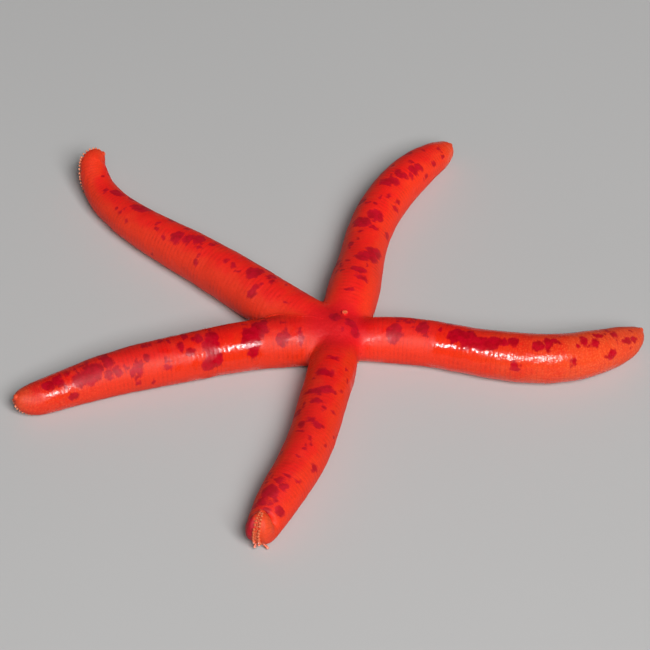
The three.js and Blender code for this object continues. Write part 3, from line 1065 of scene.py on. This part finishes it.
def skin_finish():
    finish, tree, shader, where = new_finish("wet granular skin")
    height, crown, shade = granules(tree, where, 0.00034)
    beads = granules(tree, where, 0.0011)[0]
    grainy = noted(tree, "grainy")
    film = ramp(tree, calc(tree, "ADD", noted(tree, "wet"), cloud(tree, where, 0.005, 3)), 0.7, 1.3)
    polish = calc(tree, "MULTIPLY_ADD", grainy, GLOSS["coarse_film"], GLOSS["film"])
    rough = calc(tree, "MULTIPLY_ADD", film, polish, GLOSS["dry"])
    shader.inputs["Specular IOR Level"].default_value = 0.3
    smooth = calc(tree, "SUBTRACT", 1.0, grainy)
    tubercle = calc(tree, "MULTIPLY_ADD", cloud(tree, where, 0.0011, 1), smooth,
                    times(tree, beads, grainy))
    lumps = times(tree, tubercle, calc(tree, "MULTIPLY_ADD", grainy, -0.6, 1.3))
    fine = times(tree, height, calc(tree, "MULTIPLY_ADD", grainy, 0.06, 0.07))
    lay_on(tree, shader, skin_colour(tree, where, crown, shade, beads), rough,
           calc(tree, "ADD", lumps, fine), 0.8, RELIEF_DEPTH)
    return finish


skin_mesh.materials.append(skin_finish())
print("skin finish:", len(skin_mesh.materials[0].node_tree.nodes), "nodes")

# %% [markdown]
# ## A map of the skin for its textures
# So that the star's colours can be carried as one image, each face needs a place on it. An automatic unwrap
# would scatter thousands of islands. Here each arm is unrolled into a strip, cut open along its furrow, and
# the disc is laid down as two squares, top and underside.

# %% Unroll the skin
STRIP = 0.15
GAP = 0.006
MARGIN = 0.01
MAP_LENGTH = 187
MAP_SQUARE = 400
MAP_MIDDLE = 0.125
MAP_APART = 0.26
MAP_UPPER = 7
FULL_TURN = 2 * math.pi
corner_turn = own_turn[faces] % FULL_TURN
far_side = (corner_turn.max(axis=1) > 4)[:, None]
corner_turn = np.where((corner_turn < 0.01) & far_side, FULL_TURN, corner_turn)
corner_turn = np.unwrap(corner_turn, axis=1)
crossing = corner_turn.mean(axis=1) > math.pi
corner_turn = np.where(crossing[:, None], corner_turn - FULL_TURN, corner_turn)
corner_arm = own_arm[faces]
on_strip = (corner_arm.min(axis=1) >= 0)[:, None]
strip_u = MARGIN + own_along[faces] / MAP_LENGTH
strip_v = STRIP * (corner_arm + 0.5) + (STRIP - GAP) * corner_turn / FULL_TURN
corner_spot = points[faces]
above = corner_spot[:, :, 2].mean(axis=1) > MAP_UPPER
square_u = MAP_MIDDLE + corner_spot[:, :, 0] / MAP_SQUARE + np.where(above, 0, MAP_APART)[:, None]
square_v = 5 * STRIP + MAP_MIDDLE + corner_spot[:, :, 1] / MAP_SQUARE
layer = skin_mesh.uv_layers.new(name="OFBake")
spots = np.stack([np.where(on_strip, strip_u, square_u), np.where(on_strip, strip_v, square_v)], 2)
layer.data.foreach_set("uv", spots.astype(np.float32).ravel())
print("strips cover u", strip_u[on_strip[:, 0]].max().round(3), "squares reach",
      np.abs(corner_spot[~on_strip[:, 0]][:, :, :2]).max().round(1), "mm from the middle")

# %% [markdown]
# ## Finding the skin
# Everything that grows on the star stands on its skin, which is softly uneven by now. A
# search tree over the faces tells where a line first meets it. The lines start below an
# arm and run up into it, so they find the sole, or the roof of the furrow.

# %% Meet the skin from below
from mathutils import Vector
from mathutils.bvhtree import BVHTree

skin_tree = BVHTree.FromPolygons(points.tolist(), faces.tolist())
START_BELOW = 1.25
LOOK_UP = 1.2
CLEAR_OF_MOUTH = 1.2


def meet_skin(starts, ways, reach):
    hits = [skin_tree.ray_cast(Vector(s), Vector(w), r)[0] for s, w, r in zip(starts, ways, reach)]
    return np.array([tuple(hit) if hit else (np.nan,) * 3 for hit in hits])


def under_arm(name, along, share):
    """Places on an arm's underside at a share of its radius to the left, and their frames."""
    arm = ARMS[name]
    middle, forward, left, up = walk(arm, along)
    radius = skin_radius(arm, along)
    starts = middle + left * (share * radius)[:, None] - up * (START_BELOW * radius)[:, None]
    return meet_skin(starts, up, LOOK_UP * radius), forward, left, up, radius


def clear_of_others(name, places, margin):
    """True where no other arm's furrow runs and the mouth is far enough."""
    clear = np.hypot(places[:, 0], places[:, 1]) > MOUTH["lip"] + CLEAR_OF_MOUTH
    for other, (along, sideways, _, radius) in zip(NAMES, joined(places)[3]):
        if other != name:
            clear &= (along < 0.6) | (np.abs(sideways) > margin * radius)
    return clear


trial = under_arm("right", np.array([60.0]), np.array([0.3]))[0][0]
print("sole of the right arm at", trial.round(2), "mm")

# %% [markdown]
# ## Small bodies in great number
# Spines and tube feet are simple turned shapes. One small closed body is made as a pattern,
# and every copy is laid out with its own place, direction, width and length, all in one mesh.
# Instances would be lighter, but joined copies are one plain mesh.

# %% Turned bodies and their copies
def turned_body(profile, sides=8):
    """A closed body round its own z from (radius, height) pairs; both ends are closed."""
    turn = 2 * math.pi * np.arange(sides) / sides
    body = np.array([(r * math.cos(t), r * math.sin(t), h) for r, h in profile for t in turn])
    quads = []
    for ring in range(len(profile) - 1):
        for i in range(sides):
            a, b = ring * sides + i, ring * sides + (i + 1) % sides
            quads.append((a, b, b + sides, a + sides))
    top = (len(profile) - 1) * sides
    for i in range(sides // 2 - 1):
        a, b, c, d = -i % sides, i + 1, i + 2, (-i - 1) % sides
        quads.append((top + a, top + b, top + c, top + d))
        quads.append((d, c, b, a))
    return body, np.array(quads)


def unit(vectors):
    return vectors / np.linalg.norm(vectors, axis=1)[:, None]


def copies(body, roots, ways, across, widths, lengths):
    """Copies standing on their roots, each along its way; across says where its x points."""
    pattern, quads = body
    ways = unit(ways)
    x = unit(across - ways * (across * ways).sum(axis=1)[:, None])
    y = np.cross(ways, x)
    widths = np.broadcast_to(widths, len(roots))[:, None, None]
    lengths = np.broadcast_to(lengths, len(roots))[:, None, None]
    wide = pattern[:, 0, None] * x[:, None] + pattern[:, 1, None] * y[:, None]
    placed = roots[:, None] + widths * wide + lengths * pattern[:, 2, None] * ways[:, None]
    all_quads = quads[None] + len(pattern) * np.arange(len(roots))[:, None, None]
    return placed.reshape(-1, 3), all_quads.reshape(-1, 4), np.tile(pattern[:, 2], len(roots))


def joined_piece(name, slot, groups, finish):
    """One mesh from several groups of copies, with each point's height on its own body noted."""
    start = np.cumsum([0] + [len(group[0]) for group in groups])
    mesh = mesh_from(name, np.vstack([g[0] for g in groups]),
                     np.vstack([g[1] + first for g, first in zip(groups, start)]))
    note(mesh, "up_body", np.concatenate([g[2] for g in groups]))
    shades = [np.repeat(g[3], len(g[0]) // len(g[3])) for g in groups]
    note(mesh, "tone_and_painted_shade", np.concatenate(shades))
    mesh.materials.append(finish)
    place(name, mesh, slot)


print("turned bodies ready")

# %% [markdown]
# ## Spinelets along the furrows
# Each small plate beside a furrow carries two slender spinelets that lean in over it, one stouter than the
# other, and outside them stands a row of blunt pegs, one to a plate. On the floor they splay, and the star
# rests on them. They are pale orange. Where a furrow closes towards an arm's end they draw in, and on the
# front arm, which holds its furrow tight shut, they lie over it like the teeth of a zip. There they are also
# darker and more orange: partly their own colour, partly painted shade where they face the light.

# %% Finish of the spinelets
SPINE_ROOT = (0.84, 0.10, 0.03)
SPINE_TIP = (0.90, 0.15, 0.05)
PALE_TIP = (0.90, 0.34, 0.19)
SPINE_GRAIN = (0.92, 0.26, 0.12)


def spine_finish():
    finish, tree, shader, where = new_finish("pale chalky spinelets")
    height, crown = granules(tree, where, 0.00016)[:2]
    tip = blend(tree, noted(tree, "tone_and_painted_shade"), SPINE_TIP, PALE_TIP)
    colour = blend(tree, ramp(tree, noted(tree, "up_body"), 0.1, 0.75), SPINE_ROOT, tip)
    colour = blend(tree, times(tree, crown, 0.2), colour, SPINE_GRAIN)
    # Each copy's tone also darkens or lightens it: at random, and on the front arm as painted shade.
    colour = toned(tree, colour, calc(tree, "MULTIPLY_ADD", noted(tree, "tone_and_painted_shade"), 0.25, 0.78))
    rough = calc(tree, "MULTIPLY_ADD", cloud(tree, where, 0.001), 0.2, 0.3)
    shader.inputs["Specular IOR Level"].default_value = 0.3
    lay_on(tree, shader, colour, rough, height, 0.5, 0.00003)
    return finish


SPINES = spine_finish()
print("spinelet finish:", len(SPINES.node_tree.nodes), "nodes")

# %% Rows of spinelets and pegs on one side of a furrow
SPINELET = turned_body([(0.7, -0.2), (1.0, 0.15), (0.95, 0.5), (0.85, 0.8), (0.55, 0.95), (0.2, 1.0)])
PEG = turned_body([(0.75, -0.3), (0.8, 0.15), (0.95, 0.4), (1.0, 0.62), (0.86, 0.84), (0.5, 0.97),
                   (0.15, 1.0)])
SPINELET_ROW = dict(body=SPINELET, share=0.225, apart=0.68, lean=-32, width=0.30, length=1.7,
                    nose_left=0.12, when_shut=dict(share=0.35, lean=-18, width=1.5, length=0.5))
PEG_ROW = dict(body=PEG, share=0.37, apart=1.3, lean=56, width=0.6, length=1.8,
               nose_left=0.08, when_shut=dict(share=0.4, lean=-30, width=1.5, length=0.75))
# The front arm's spines get low tones, which paint them darker and more orange: partly their own colour,
# partly painted shade where they face the light.
TIGHT = dict(arm="front", shut=1.0, others_shut=0.25, paleness_and_painted_shade=0.15)
CLEAR_OF_FLOOR = 0.05
LEAST_DOWN = 0.02
SHORTEST = 0.3
FIRST_SPINE = 2
SPINE_STEP = 0.25
SLIMMER = 0.82
rng = np.random.default_rng(31)


def spread_out(roots, apart):
    """Numbers of the roots kept when none may stand closer than apart to the last one kept."""
    kept = [0]
    for i, root in enumerate(roots):
        if np.linalg.norm(root - roots[kept[-1]]) > apart:
            kept.append(i)
    return np.array(kept)


def room_above_floor(roots, ways, widths):
    """How long a body of this width may grow this way from its root before it meets the floor."""
    rim = widths * np.sqrt(np.maximum(1 - ways[:, 2] ** 2, 0))
    return (roots[:, 2] - CLEAR_OF_FLOOR - rim) / np.maximum(-ways[:, 2], LEAST_DOWN)


def row_of_spines(name, side, body, share, apart, lean, width, length, nose_left, when_shut):
    """A row beside a furrow. lean is the angle outward from straight down, in degrees, and
    when_shut says how the row changes where the arm closes its furrow."""
    arm = ARMS[name]
    marks, count = plates_counted(arm)
    last = np.interp(arm["length"] - nose_left * arm["nose"], marks, count)
    plates = np.arange(FIRST_SPINE, last, SPINE_STEP)
    plates = plates + rng.normal(0, 0.03, len(plates))
    along = np.interp(plates, count, marks)
    tight = name == TIGHT["arm"]
    shut = closing(arm, along) * TIGHT["shut" if tight else "others_shut"]
    aside = side * share * (1 + (when_shut["share"] - 1) * shut)
    roots, forward, left, up, radius = under_arm(name, along, aside)
    found = ~np.isnan(roots[:, 0])
    found[found] &= clear_of_others(name, roots[found], share)
    mine = np.nonzero(found)[0][spread_out(roots[found], apart)]
    shut = shut[mine]
    roots, forward, left, up, radius = (part[mine] for part in (roots, forward, left, up, radius))
    amount = len(roots)
    tilt = np.radians(lean + when_shut["lean"] * shut + rng.normal(0, 5, amount))[:, None]
    sway = rng.normal(0, 0.12, (amount, 1))
    ways = unit(-up * np.cos(tilt) + side * left * np.sin(tilt) + forward * sway)
    grown = 0.55 + 0.45 * radius / USUAL_RADIUS
    every_other = np.where((np.arange(amount) % 2 == 0) | (apart > 1), 1.0, SLIMMER)
    lengths = length * grown * every_other * rng.uniform(0.92, 1.08, amount)
    lengths *= 1 + (when_shut["length"] - 1) * shut
    widths = width * grown * every_other * rng.uniform(0.93, 1.07, amount)
    widths *= 1 + (when_shut["width"] - 1) * shut
    lengths = np.minimum(lengths, room_above_floor(roots, ways, widths))
    kept = lengths > SHORTEST
    made = copies(body, roots[kept], ways[kept], forward[kept], widths[kept], lengths[kept])
    # Low tones on the front arm: partly its spines' own colour, partly painted shade.
    palest_with_painted_shade = TIGHT["paleness_and_painted_shade"] if tight else 1.0
    return (*made, palest_with_painted_shade * rng.uniform(0.5, 1, int(kept.sum())))


spine_rows = [row_of_spines(name, side, **row)
              for name in NAMES for side in (1, -1) for row in (SPINELET_ROW, PEG_ROW)]
print("spinelets and pegs:", sum(len(row[3]) for row in spine_rows))

# %% [markdown]
# ## The mouth's spines
# Between each two furrows a jaw reaches to the edge of the mouth, with a fan of flat spines
# laid in over the opening and a few stout ones behind them.

# %% Fans of spines on the five jaws
UPWARD = np.array([0, 0, 1.0])
FURROW_HALF = 0.21
JAW_TOP = 2.4
DIP = (14, 24)


def mouth_spines(body, from_middle, step, inward, width, length):
    """Spines every so many degrees round the mouth, wherever there is a jaw to stand on."""
    turn = np.radians(np.arange(0, 360, step))
    out = np.stack([np.cos(turn), np.sin(turn), 0 * turn], 1)
    starts = out * from_middle - UPWARD
    roots = meet_skin(starts, np.tile(UPWARD, (len(turn), 1)), np.full(len(turn), 6.0))
    measures = joined(np.nan_to_num(roots))[3]
    in_furrow = [(along > 0.6) & (np.abs(side) < FURROW_HALF * radius)
                 for along, side, _, radius in measures]
    kept = ~np.isnan(roots[:, 0]) & ~np.any(in_furrow, axis=0) & (roots[:, 2] < JAW_TOP)
    roots, out = roots[kept], out[kept]
    amount = len(roots)
    down = np.radians(rng.uniform(*DIP, amount))[:, None]
    ways = -inward * out * np.cos(down) - UPWARD * np.sin(down)
    lengths = length * rng.uniform(0.9, 1.1, amount)
    lengths = np.minimum(lengths, room_above_floor(roots, ways, width))
    aside = np.cross(out, UPWARD)
    return (*copies(body, roots, ways, aside, width, lengths), rng.uniform(0, 1, amount))


FANS = [dict(body=SPINELET, from_middle=5.5, step=8, inward=1, width=0.36, length=2.6),
        dict(body=PEG, from_middle=7.6, step=9, inward=1, width=0.42, length=1.6),
        dict(body=PEG, from_middle=9.6, step=10, inward=-1, width=0.42, length=1.4)]
fans = [mouth_spines(**fan) for fan in FANS]
joined_piece("spinelets", "spinelets", spine_rows + fans, SPINES)
print("spines round the mouth:", sum(len(fan[3]) for fan in fans))

# %% [markdown]
# ## Tube feet
# Two rows of tube feet stand in every furrow, each a soft tube from the furrow's roof down
# to a sucker that holds the floor. Where an end is lifted they are drawn in, and at the fold
# of the front arm a bunch of them reaches out.

# %% Finish of the tube feet
def foot_finish():
    finish, tree, shader, where = new_finish("soft tube feet")
    sucker = ramp(tree, noted(tree, "up_body"), 0.72, 0.9)
    colour = blend(tree, cloud(tree, where, 0.0012), (0.80, 0.10, 0.04), (0.90, 0.20, 0.09))
    colour = blend(tree, sucker, colour, (0.90, 0.34, 0.24))
    rings = calc(tree, "SINE", times(tree, noted(tree, "up_body"), 60.0))
    rough = calc(tree, "MULTIPLY_ADD", rings, 0.04, 0.3)
    lay_on(tree, shader, colour, rough, rings, 0.3, 0.00002)
    shader.inputs["Subsurface Weight"].default_value = 0.15
    shader.inputs["Subsurface Radius"].default_value = (0.002, 0.0008, 0.0004)
    return finish


# %% Two rows in every furrow
SUCKER_RADIUS = 1.6
FOOT = turned_body([(1.0, -0.06), (1.0, 0.1), (0.85, 0.35), (0.8, 0.65), (0.85, 0.8), (1.45, 0.9),
                    (SUCKER_RADIUS, 0.97), (1.2, 1.0), (0.7, 0.96)])
BLUNT_FOOT = turned_body([(0.85, -0.1), (0.9, 0.15), (0.88, 0.4), (0.95, 0.65), (1.08, 0.85), (0.95, 0.95),
                          (0.6, 1.0)])
FOOT_PITCH = 1.55
FOOT_ASIDE = 0.075
FOOT_WIDTH = 0.34
FOOT_CLEAR = 0.04
LIFTED = (0.6, 2.5)
DRAWN_IN = 0.27
BUNCH = dict(arm="front", along=121, within=3, reach=0.5, sway=0.22, wider=1.3, aside=0.25,
             splay=0.3, body_from=0.3)
rng = np.random.default_rng(47)


def row_of_feet(name, side):
    """Tube feet on one side of a furrow. Those in the bunch are blunt, without a sucker's rim."""
    arm = ARMS[name]
    along = np.arange(9 + 0.4 * side, arm["length"] - 0.35 * arm["nose"], FOOT_PITCH)
    along = along + rng.normal(0, 0.12, len(along))
    roots, forward, left, up, radius = under_arm(name, along, np.full(len(along), FOOT_ASIDE * side))
    found = ~np.isnan(roots[:, 0])
    found[found] &= clear_of_others(name, roots[found], 0.2)
    found &= (closing(arm, along) < 0.5) | (np.abs(along - BUNCH["along"]) < BUNCH["within"])
    along = along[found]
    roots, forward, left, up, radius = (part[found] for part in (roots, forward, left, up, radius))
    amount = len(roots)
    bunch = np.exp(-((along - BUNCH["along"]) / BUNCH["within"]) ** 2) * (name == BUNCH["arm"])
    sway = rng.normal(0, 0.10 + BUNCH["sway"] * bunch[:, None], (amount, 2))
    aside = sway[:, 1:] + 0.05 * side + (BUNCH["splay"] * side + BUNCH["aside"]) * bunch[:, None]
    ways = unit(-up + forward * sway[:, :1] + left * aside)
    lifted = smooth_step(roots[:, 2] - 0.42 * radius, *LIFTED)
    grown = FOOT_WIDTH * (0.5 + 0.5 * radius / USUAL_RADIUS)
    widths = grown * rng.uniform(0.9, 1.1, amount) * (1 + BUNCH["wider"] * bunch)
    rim = SUCKER_RADIUS * widths * np.sqrt(np.maximum(1 - ways[:, 2] ** 2, 0))
    to_floor = (roots[:, 2] - FOOT_CLEAR - rim) / np.maximum(-ways[:, 2], 0.3)
    drawn_in = DRAWN_IN * radius * rng.uniform(0.75, 1.05, amount) + BUNCH["reach"] * bunch
    lengths = to_floor + (drawn_in - to_floor) * lifted
    shades = rng.uniform(0, 1, amount)
    made = []
    in_bunch = bunch >= BUNCH["body_from"]
    for body, mine in ((FOOT, ~in_bunch), (BLUNT_FOOT, in_bunch)):
        if mine.any():
            group = copies(body, roots[mine], ways[mine], forward[mine], widths[mine], lengths[mine])
            made.append((*group, shades[mine]))
    return made


feet = [group for name in NAMES for side in (1, -1) for group in row_of_feet(name, side)]
joined_piece("tube_feet", "tube_feet", feet, foot_finish())
lowest = min(row[0][:, 2].min() for row in feet)
print(sum(len(row[3]) for row in feet), "tube feet, lowest point", lowest.round(3), "mm")

# %% [markdown]
# ## Terminal plates
# The last plate of every arm is larger than the others: a rounded knob with a few low
# tubercles, notched below where the last tube foot, a small feeler, comes out. Pushing the
# points of a ball in and out along their own direction keeps it one closed body.

# %% A ball of squares, and the plates made from it
def ball(steps):
    """Points and faces of a ball of radius one, from a cube with steps squares to an edge."""
    corners, quads, known = [], [], {}

    def corner(spot):
        key = tuple(np.round(spot, 5))
        if key not in known:
            known[key] = len(corners)
            corners.append(spot)
        return known[key]

    grid = np.tan(np.linspace(-math.pi / 4, math.pi / 4, steps + 1))
    for axis in range(3):
        for end in (-1.0, 1.0):
            made = np.empty((steps + 1, steps + 1), int)
            for i, a in enumerate(grid):
                for j, b in enumerate(grid):
                    spot = np.roll(np.array([end, a, b]), axis)
                    made[i, j] = corner(spot / np.linalg.norm(spot))
            side = squares(made)
            quads.append(side if end > 0 else side[:, ::-1])
    return np.array(corners), np.vstack(quads)


PLATE_ORANGE = (0.82, 0.05, 0.014)
KNOB_ORANGE = (0.86, 0.12, 0.04)
PLATE_GRAIN = (0.90, 0.24, 0.10)


def plate_finish():
    finish, tree, shader, where = new_finish("chalky terminal plate")
    height, crown = granules(tree, where, 0.00022)[:2]
    knob_share = ramp(tree, noted(tree, "raised"), -0.05, 0.15)
    colour = blend(tree, knob_share, PLATE_ORANGE, KNOB_ORANGE)
    colour = blend(tree, times(tree, crown, 0.3), colour, PLATE_GRAIN)
    rough = calc(tree, "MULTIPLY_ADD", cloud(tree, where, 0.0012), 0.2, 0.28)
    shader.inputs["Specular IOR Level"].default_value = 0.3
    lay_on(tree, shader, colour, rough, height, 0.6, 0.00004)
    return finish


PLATE = dict(radius=1.6, inset=1.0, tubercles=11, wide=0.2, tall=0.17)
NOTCH = dict(wide=0.35, deep=0.4, forward=0.55)


def swelling(way, wide):
    """One towards this way from the ball's middle, falling to nothing beside it."""
    return np.exp(-(np.arccos(np.clip(ways_out @ way, -1, 1)) / wide) ** 2)


PLATES = plate_finish()
ways_out, ball_faces = ball(14)
rng = np.random.default_rng(53)
for name, arm in ARMS.items():
    middle, forward, left, up = (part[0] for part in walk(arm, [arm["length"] - PLATE["inset"]]))
    knobs = unit(rng.normal(size=(PLATE["tubercles"], 3)) * 0.6 + forward * 0.9 + up * 0.4)
    raised = PLATE["tall"] * swelling(knobs.T, PLATE["wide"]).max(axis=1)
    notch = unit(np.array([forward * NOTCH["forward"] - up]))[0]
    raised = raised - NOTCH["deep"] * swelling(notch, NOTCH["wide"])
    knob = middle + ways_out * (0.97 * PLATE["radius"] + raised)[:, None]
    mesh = mesh_from("tip_plate_" + name, knob, ball_faces)
    note(mesh, "raised", raised)
    mesh.materials.append(PLATES)
    place("tip_plate_" + name, mesh, "plates", "terminal_plate_" + name)

# %% [markdown]
# ## The madreporite
# This small sieve plate lets water into the star's canals. Fine meandering grooves run out
# from its middle. It is laid out as rings round its own middle, so the grooves can be bent by
# a soft cloud and cut into its top, and it sits in the skin like a button. Red skin grows
# over its rim, so only its middle shows pale.

# %% Finish of the madreporite
SIEVE_GRAIN = 1 / 9000


def sieve_finish():
    finish, tree, shader, where = new_finish("madreporite stone")
    depth = ramp(tree, noted(tree, "raised"), -0.02, -0.12)
    colour = blend(tree, depth, (0.88, 0.15, 0.04), (0.60, 0.04, 0.012))
    grain = cloud(tree, where, SIEVE_GRAIN, 3.0)
    colour = blend(tree, times(tree, grain, 0.3), colour, (0.93, 0.3, 0.12))
    colour = blend(tree, ramp(tree, noted(tree, "from_middle"), 0.6, 0.85), colour, RED)
    rough = calc(tree, "MULTIPLY_ADD", grain, 0.15, 0.66)
    lay_on(tree, shader, colour, rough, grain, 0.5, 0.00003)
    return finish


# %% Shape of the madreporite
SIEVE = dict(radius=1.5, top=22.6, edge=22.1, foot=21.0, sides=96, rings=22, crown=0.28)
CANALS = dict(count=11, deep=0.14, wander=1.8, forks_at=0.55, above=22.2)
rings = np.linspace(0.03, 1, SIEVE["rings"])
profile = [(SIEVE["radius"] * 0.5, SIEVE["foot"]), (SIEVE["radius"] * 0.97, SIEVE["foot"]),
           (SIEVE["radius"], SIEVE["edge"])]
profile += [(r * SIEVE["radius"], SIEVE["top"] - SIEVE["crown"] * r**2) for r in rings[::-1]]
sieve, sieve_faces = turned_body(profile, SIEVE["sides"])
from_centre = np.hypot(sieve[:, 0], sieve[:, 1]) / SIEVE["radius"]
turn = np.arctan2(sieve[:, 1], sieve[:, 0])
wander = CANALS["wander"] * clouds(sieve, 0.8, 61) * from_centre
fork = np.where(from_centre > CANALS["forks_at"], 2, 1)
groove = 0.5 - 0.5 * np.cos(CANALS["count"] * fork * turn + wander)
on_top = smooth_step(from_centre, 0.08, 0.2) * smooth_step(-from_centre, -0.97, -0.85)
raised = -CANALS["deep"] * groove * on_top * (sieve[:, 2] > CANALS["above"])
sieve[:, 2] += raised
sieve[:, :2] += SIEVE_SPOT
sieve_mesh = mesh_from("sieve_plate", sieve, sieve_faces)
note(sieve_mesh, "raised", raised)
note(sieve_mesh, "from_middle", from_centre)
sieve_mesh.materials.append(sieve_finish())
place("sieve_plate", sieve_mesh, "madreporite", "madreporite")

# %% [markdown]
# ## Floor, light and camera
# The star lies on a plain pale floor. A broad soft lamp from the front right shapes the
# arms. It isn't mirrored in the skin, where it would lie as a milky veil. Two very small
# lamps do nothing but give the short broken lights of wet skin, one to each side, and the
# white world keeps the shadows soft.

# %% A pale floor
bpy.ops.mesh.primitive_plane_add(size=6, location=(0, 0, 0))
floor = bpy.context.object
floor.name = "floor"
pale, tree, shader, where = new_finish("pale floor")
tone = blend(tree, cloud(tree, where, 0.3), (0.53, 0.525, 0.52), (0.56, 0.555, 0.55))
tree.links.new(tone, shader.inputs["Base Color"])
shader.inputs["Roughness"].default_value = 0.8
floor.data.materials.append(pale)
floor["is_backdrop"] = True
print("floor is", floor.dimensions.x, "m wide")

# %% Lamps
def lamp(name, spot, size, power):
    light = bpy.data.lights.new(name, "AREA")
    light.size = size
    light.energy = power
    made = bpy.data.objects.new(name, light)
    made.location = spot
    made.rotation_euler = Vector(spot).to_track_quat("Z", "Y").to_euler()
    bpy.context.scene.collection.objects.link(made)
    print(name, "lamp,", power, "W from", spot)
    return made


KEY = dict(spot=(1.24, -2.90, 3.22), size=2.4, power=236)
SPARKS = {
    "right_spark": dict(spot=(0.28, -1.38, 1.42), size=0.1, power=24),
    "left_spark": dict(spot=(-0.42, -1.38, 1.42), size=0.1, power=28),
}
lamp("key", **KEY).visible_glossy = False
for name, spark in SPARKS.items():
    lamp(name, **spark).visible_diffuse = False
world = bpy.data.worlds.new("studio")
world.use_nodes = True
sky = world.node_tree.nodes["Background"]
sky.inputs["Color"].default_value = (1, 1, 1, 1)
sky.inputs["Strength"].default_value = 0.06
bpy.context.scene.world = world
bpy.context.scene.view_settings.view_transform = "Standard"

# %% Camera
AIM = np.array([-6.22, 5.12, 15.30])
BACK = 1.079
ABOVE = 1.042
target = (MIDDLE + AIM) * MM
lens = bpy.data.cameras.new("camera")
lens.lens = 180.3
lens.sensor_width = 36
lens.clip_end = 20
camera = bpy.data.objects.new("camera", lens)
camera.location = target + np.array([0, -BACK, ABOVE])
camera.rotation_euler = (math.radians(46), 0, 0)
bpy.context.scene.collection.objects.link(camera)
bpy.context.scene.camera = camera
print("camera", round(math.hypot(BACK, ABOVE), 3), "m from the star")

# %% [markdown]
# ## Size
# The dressed star must stay as large as the imported one, so its size is printed.

bpy.context.view_layer.update()
low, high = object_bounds()
print("dressed star:", [round(1000 * (b - a), 1) for a, b in zip(low, high)], "mm")
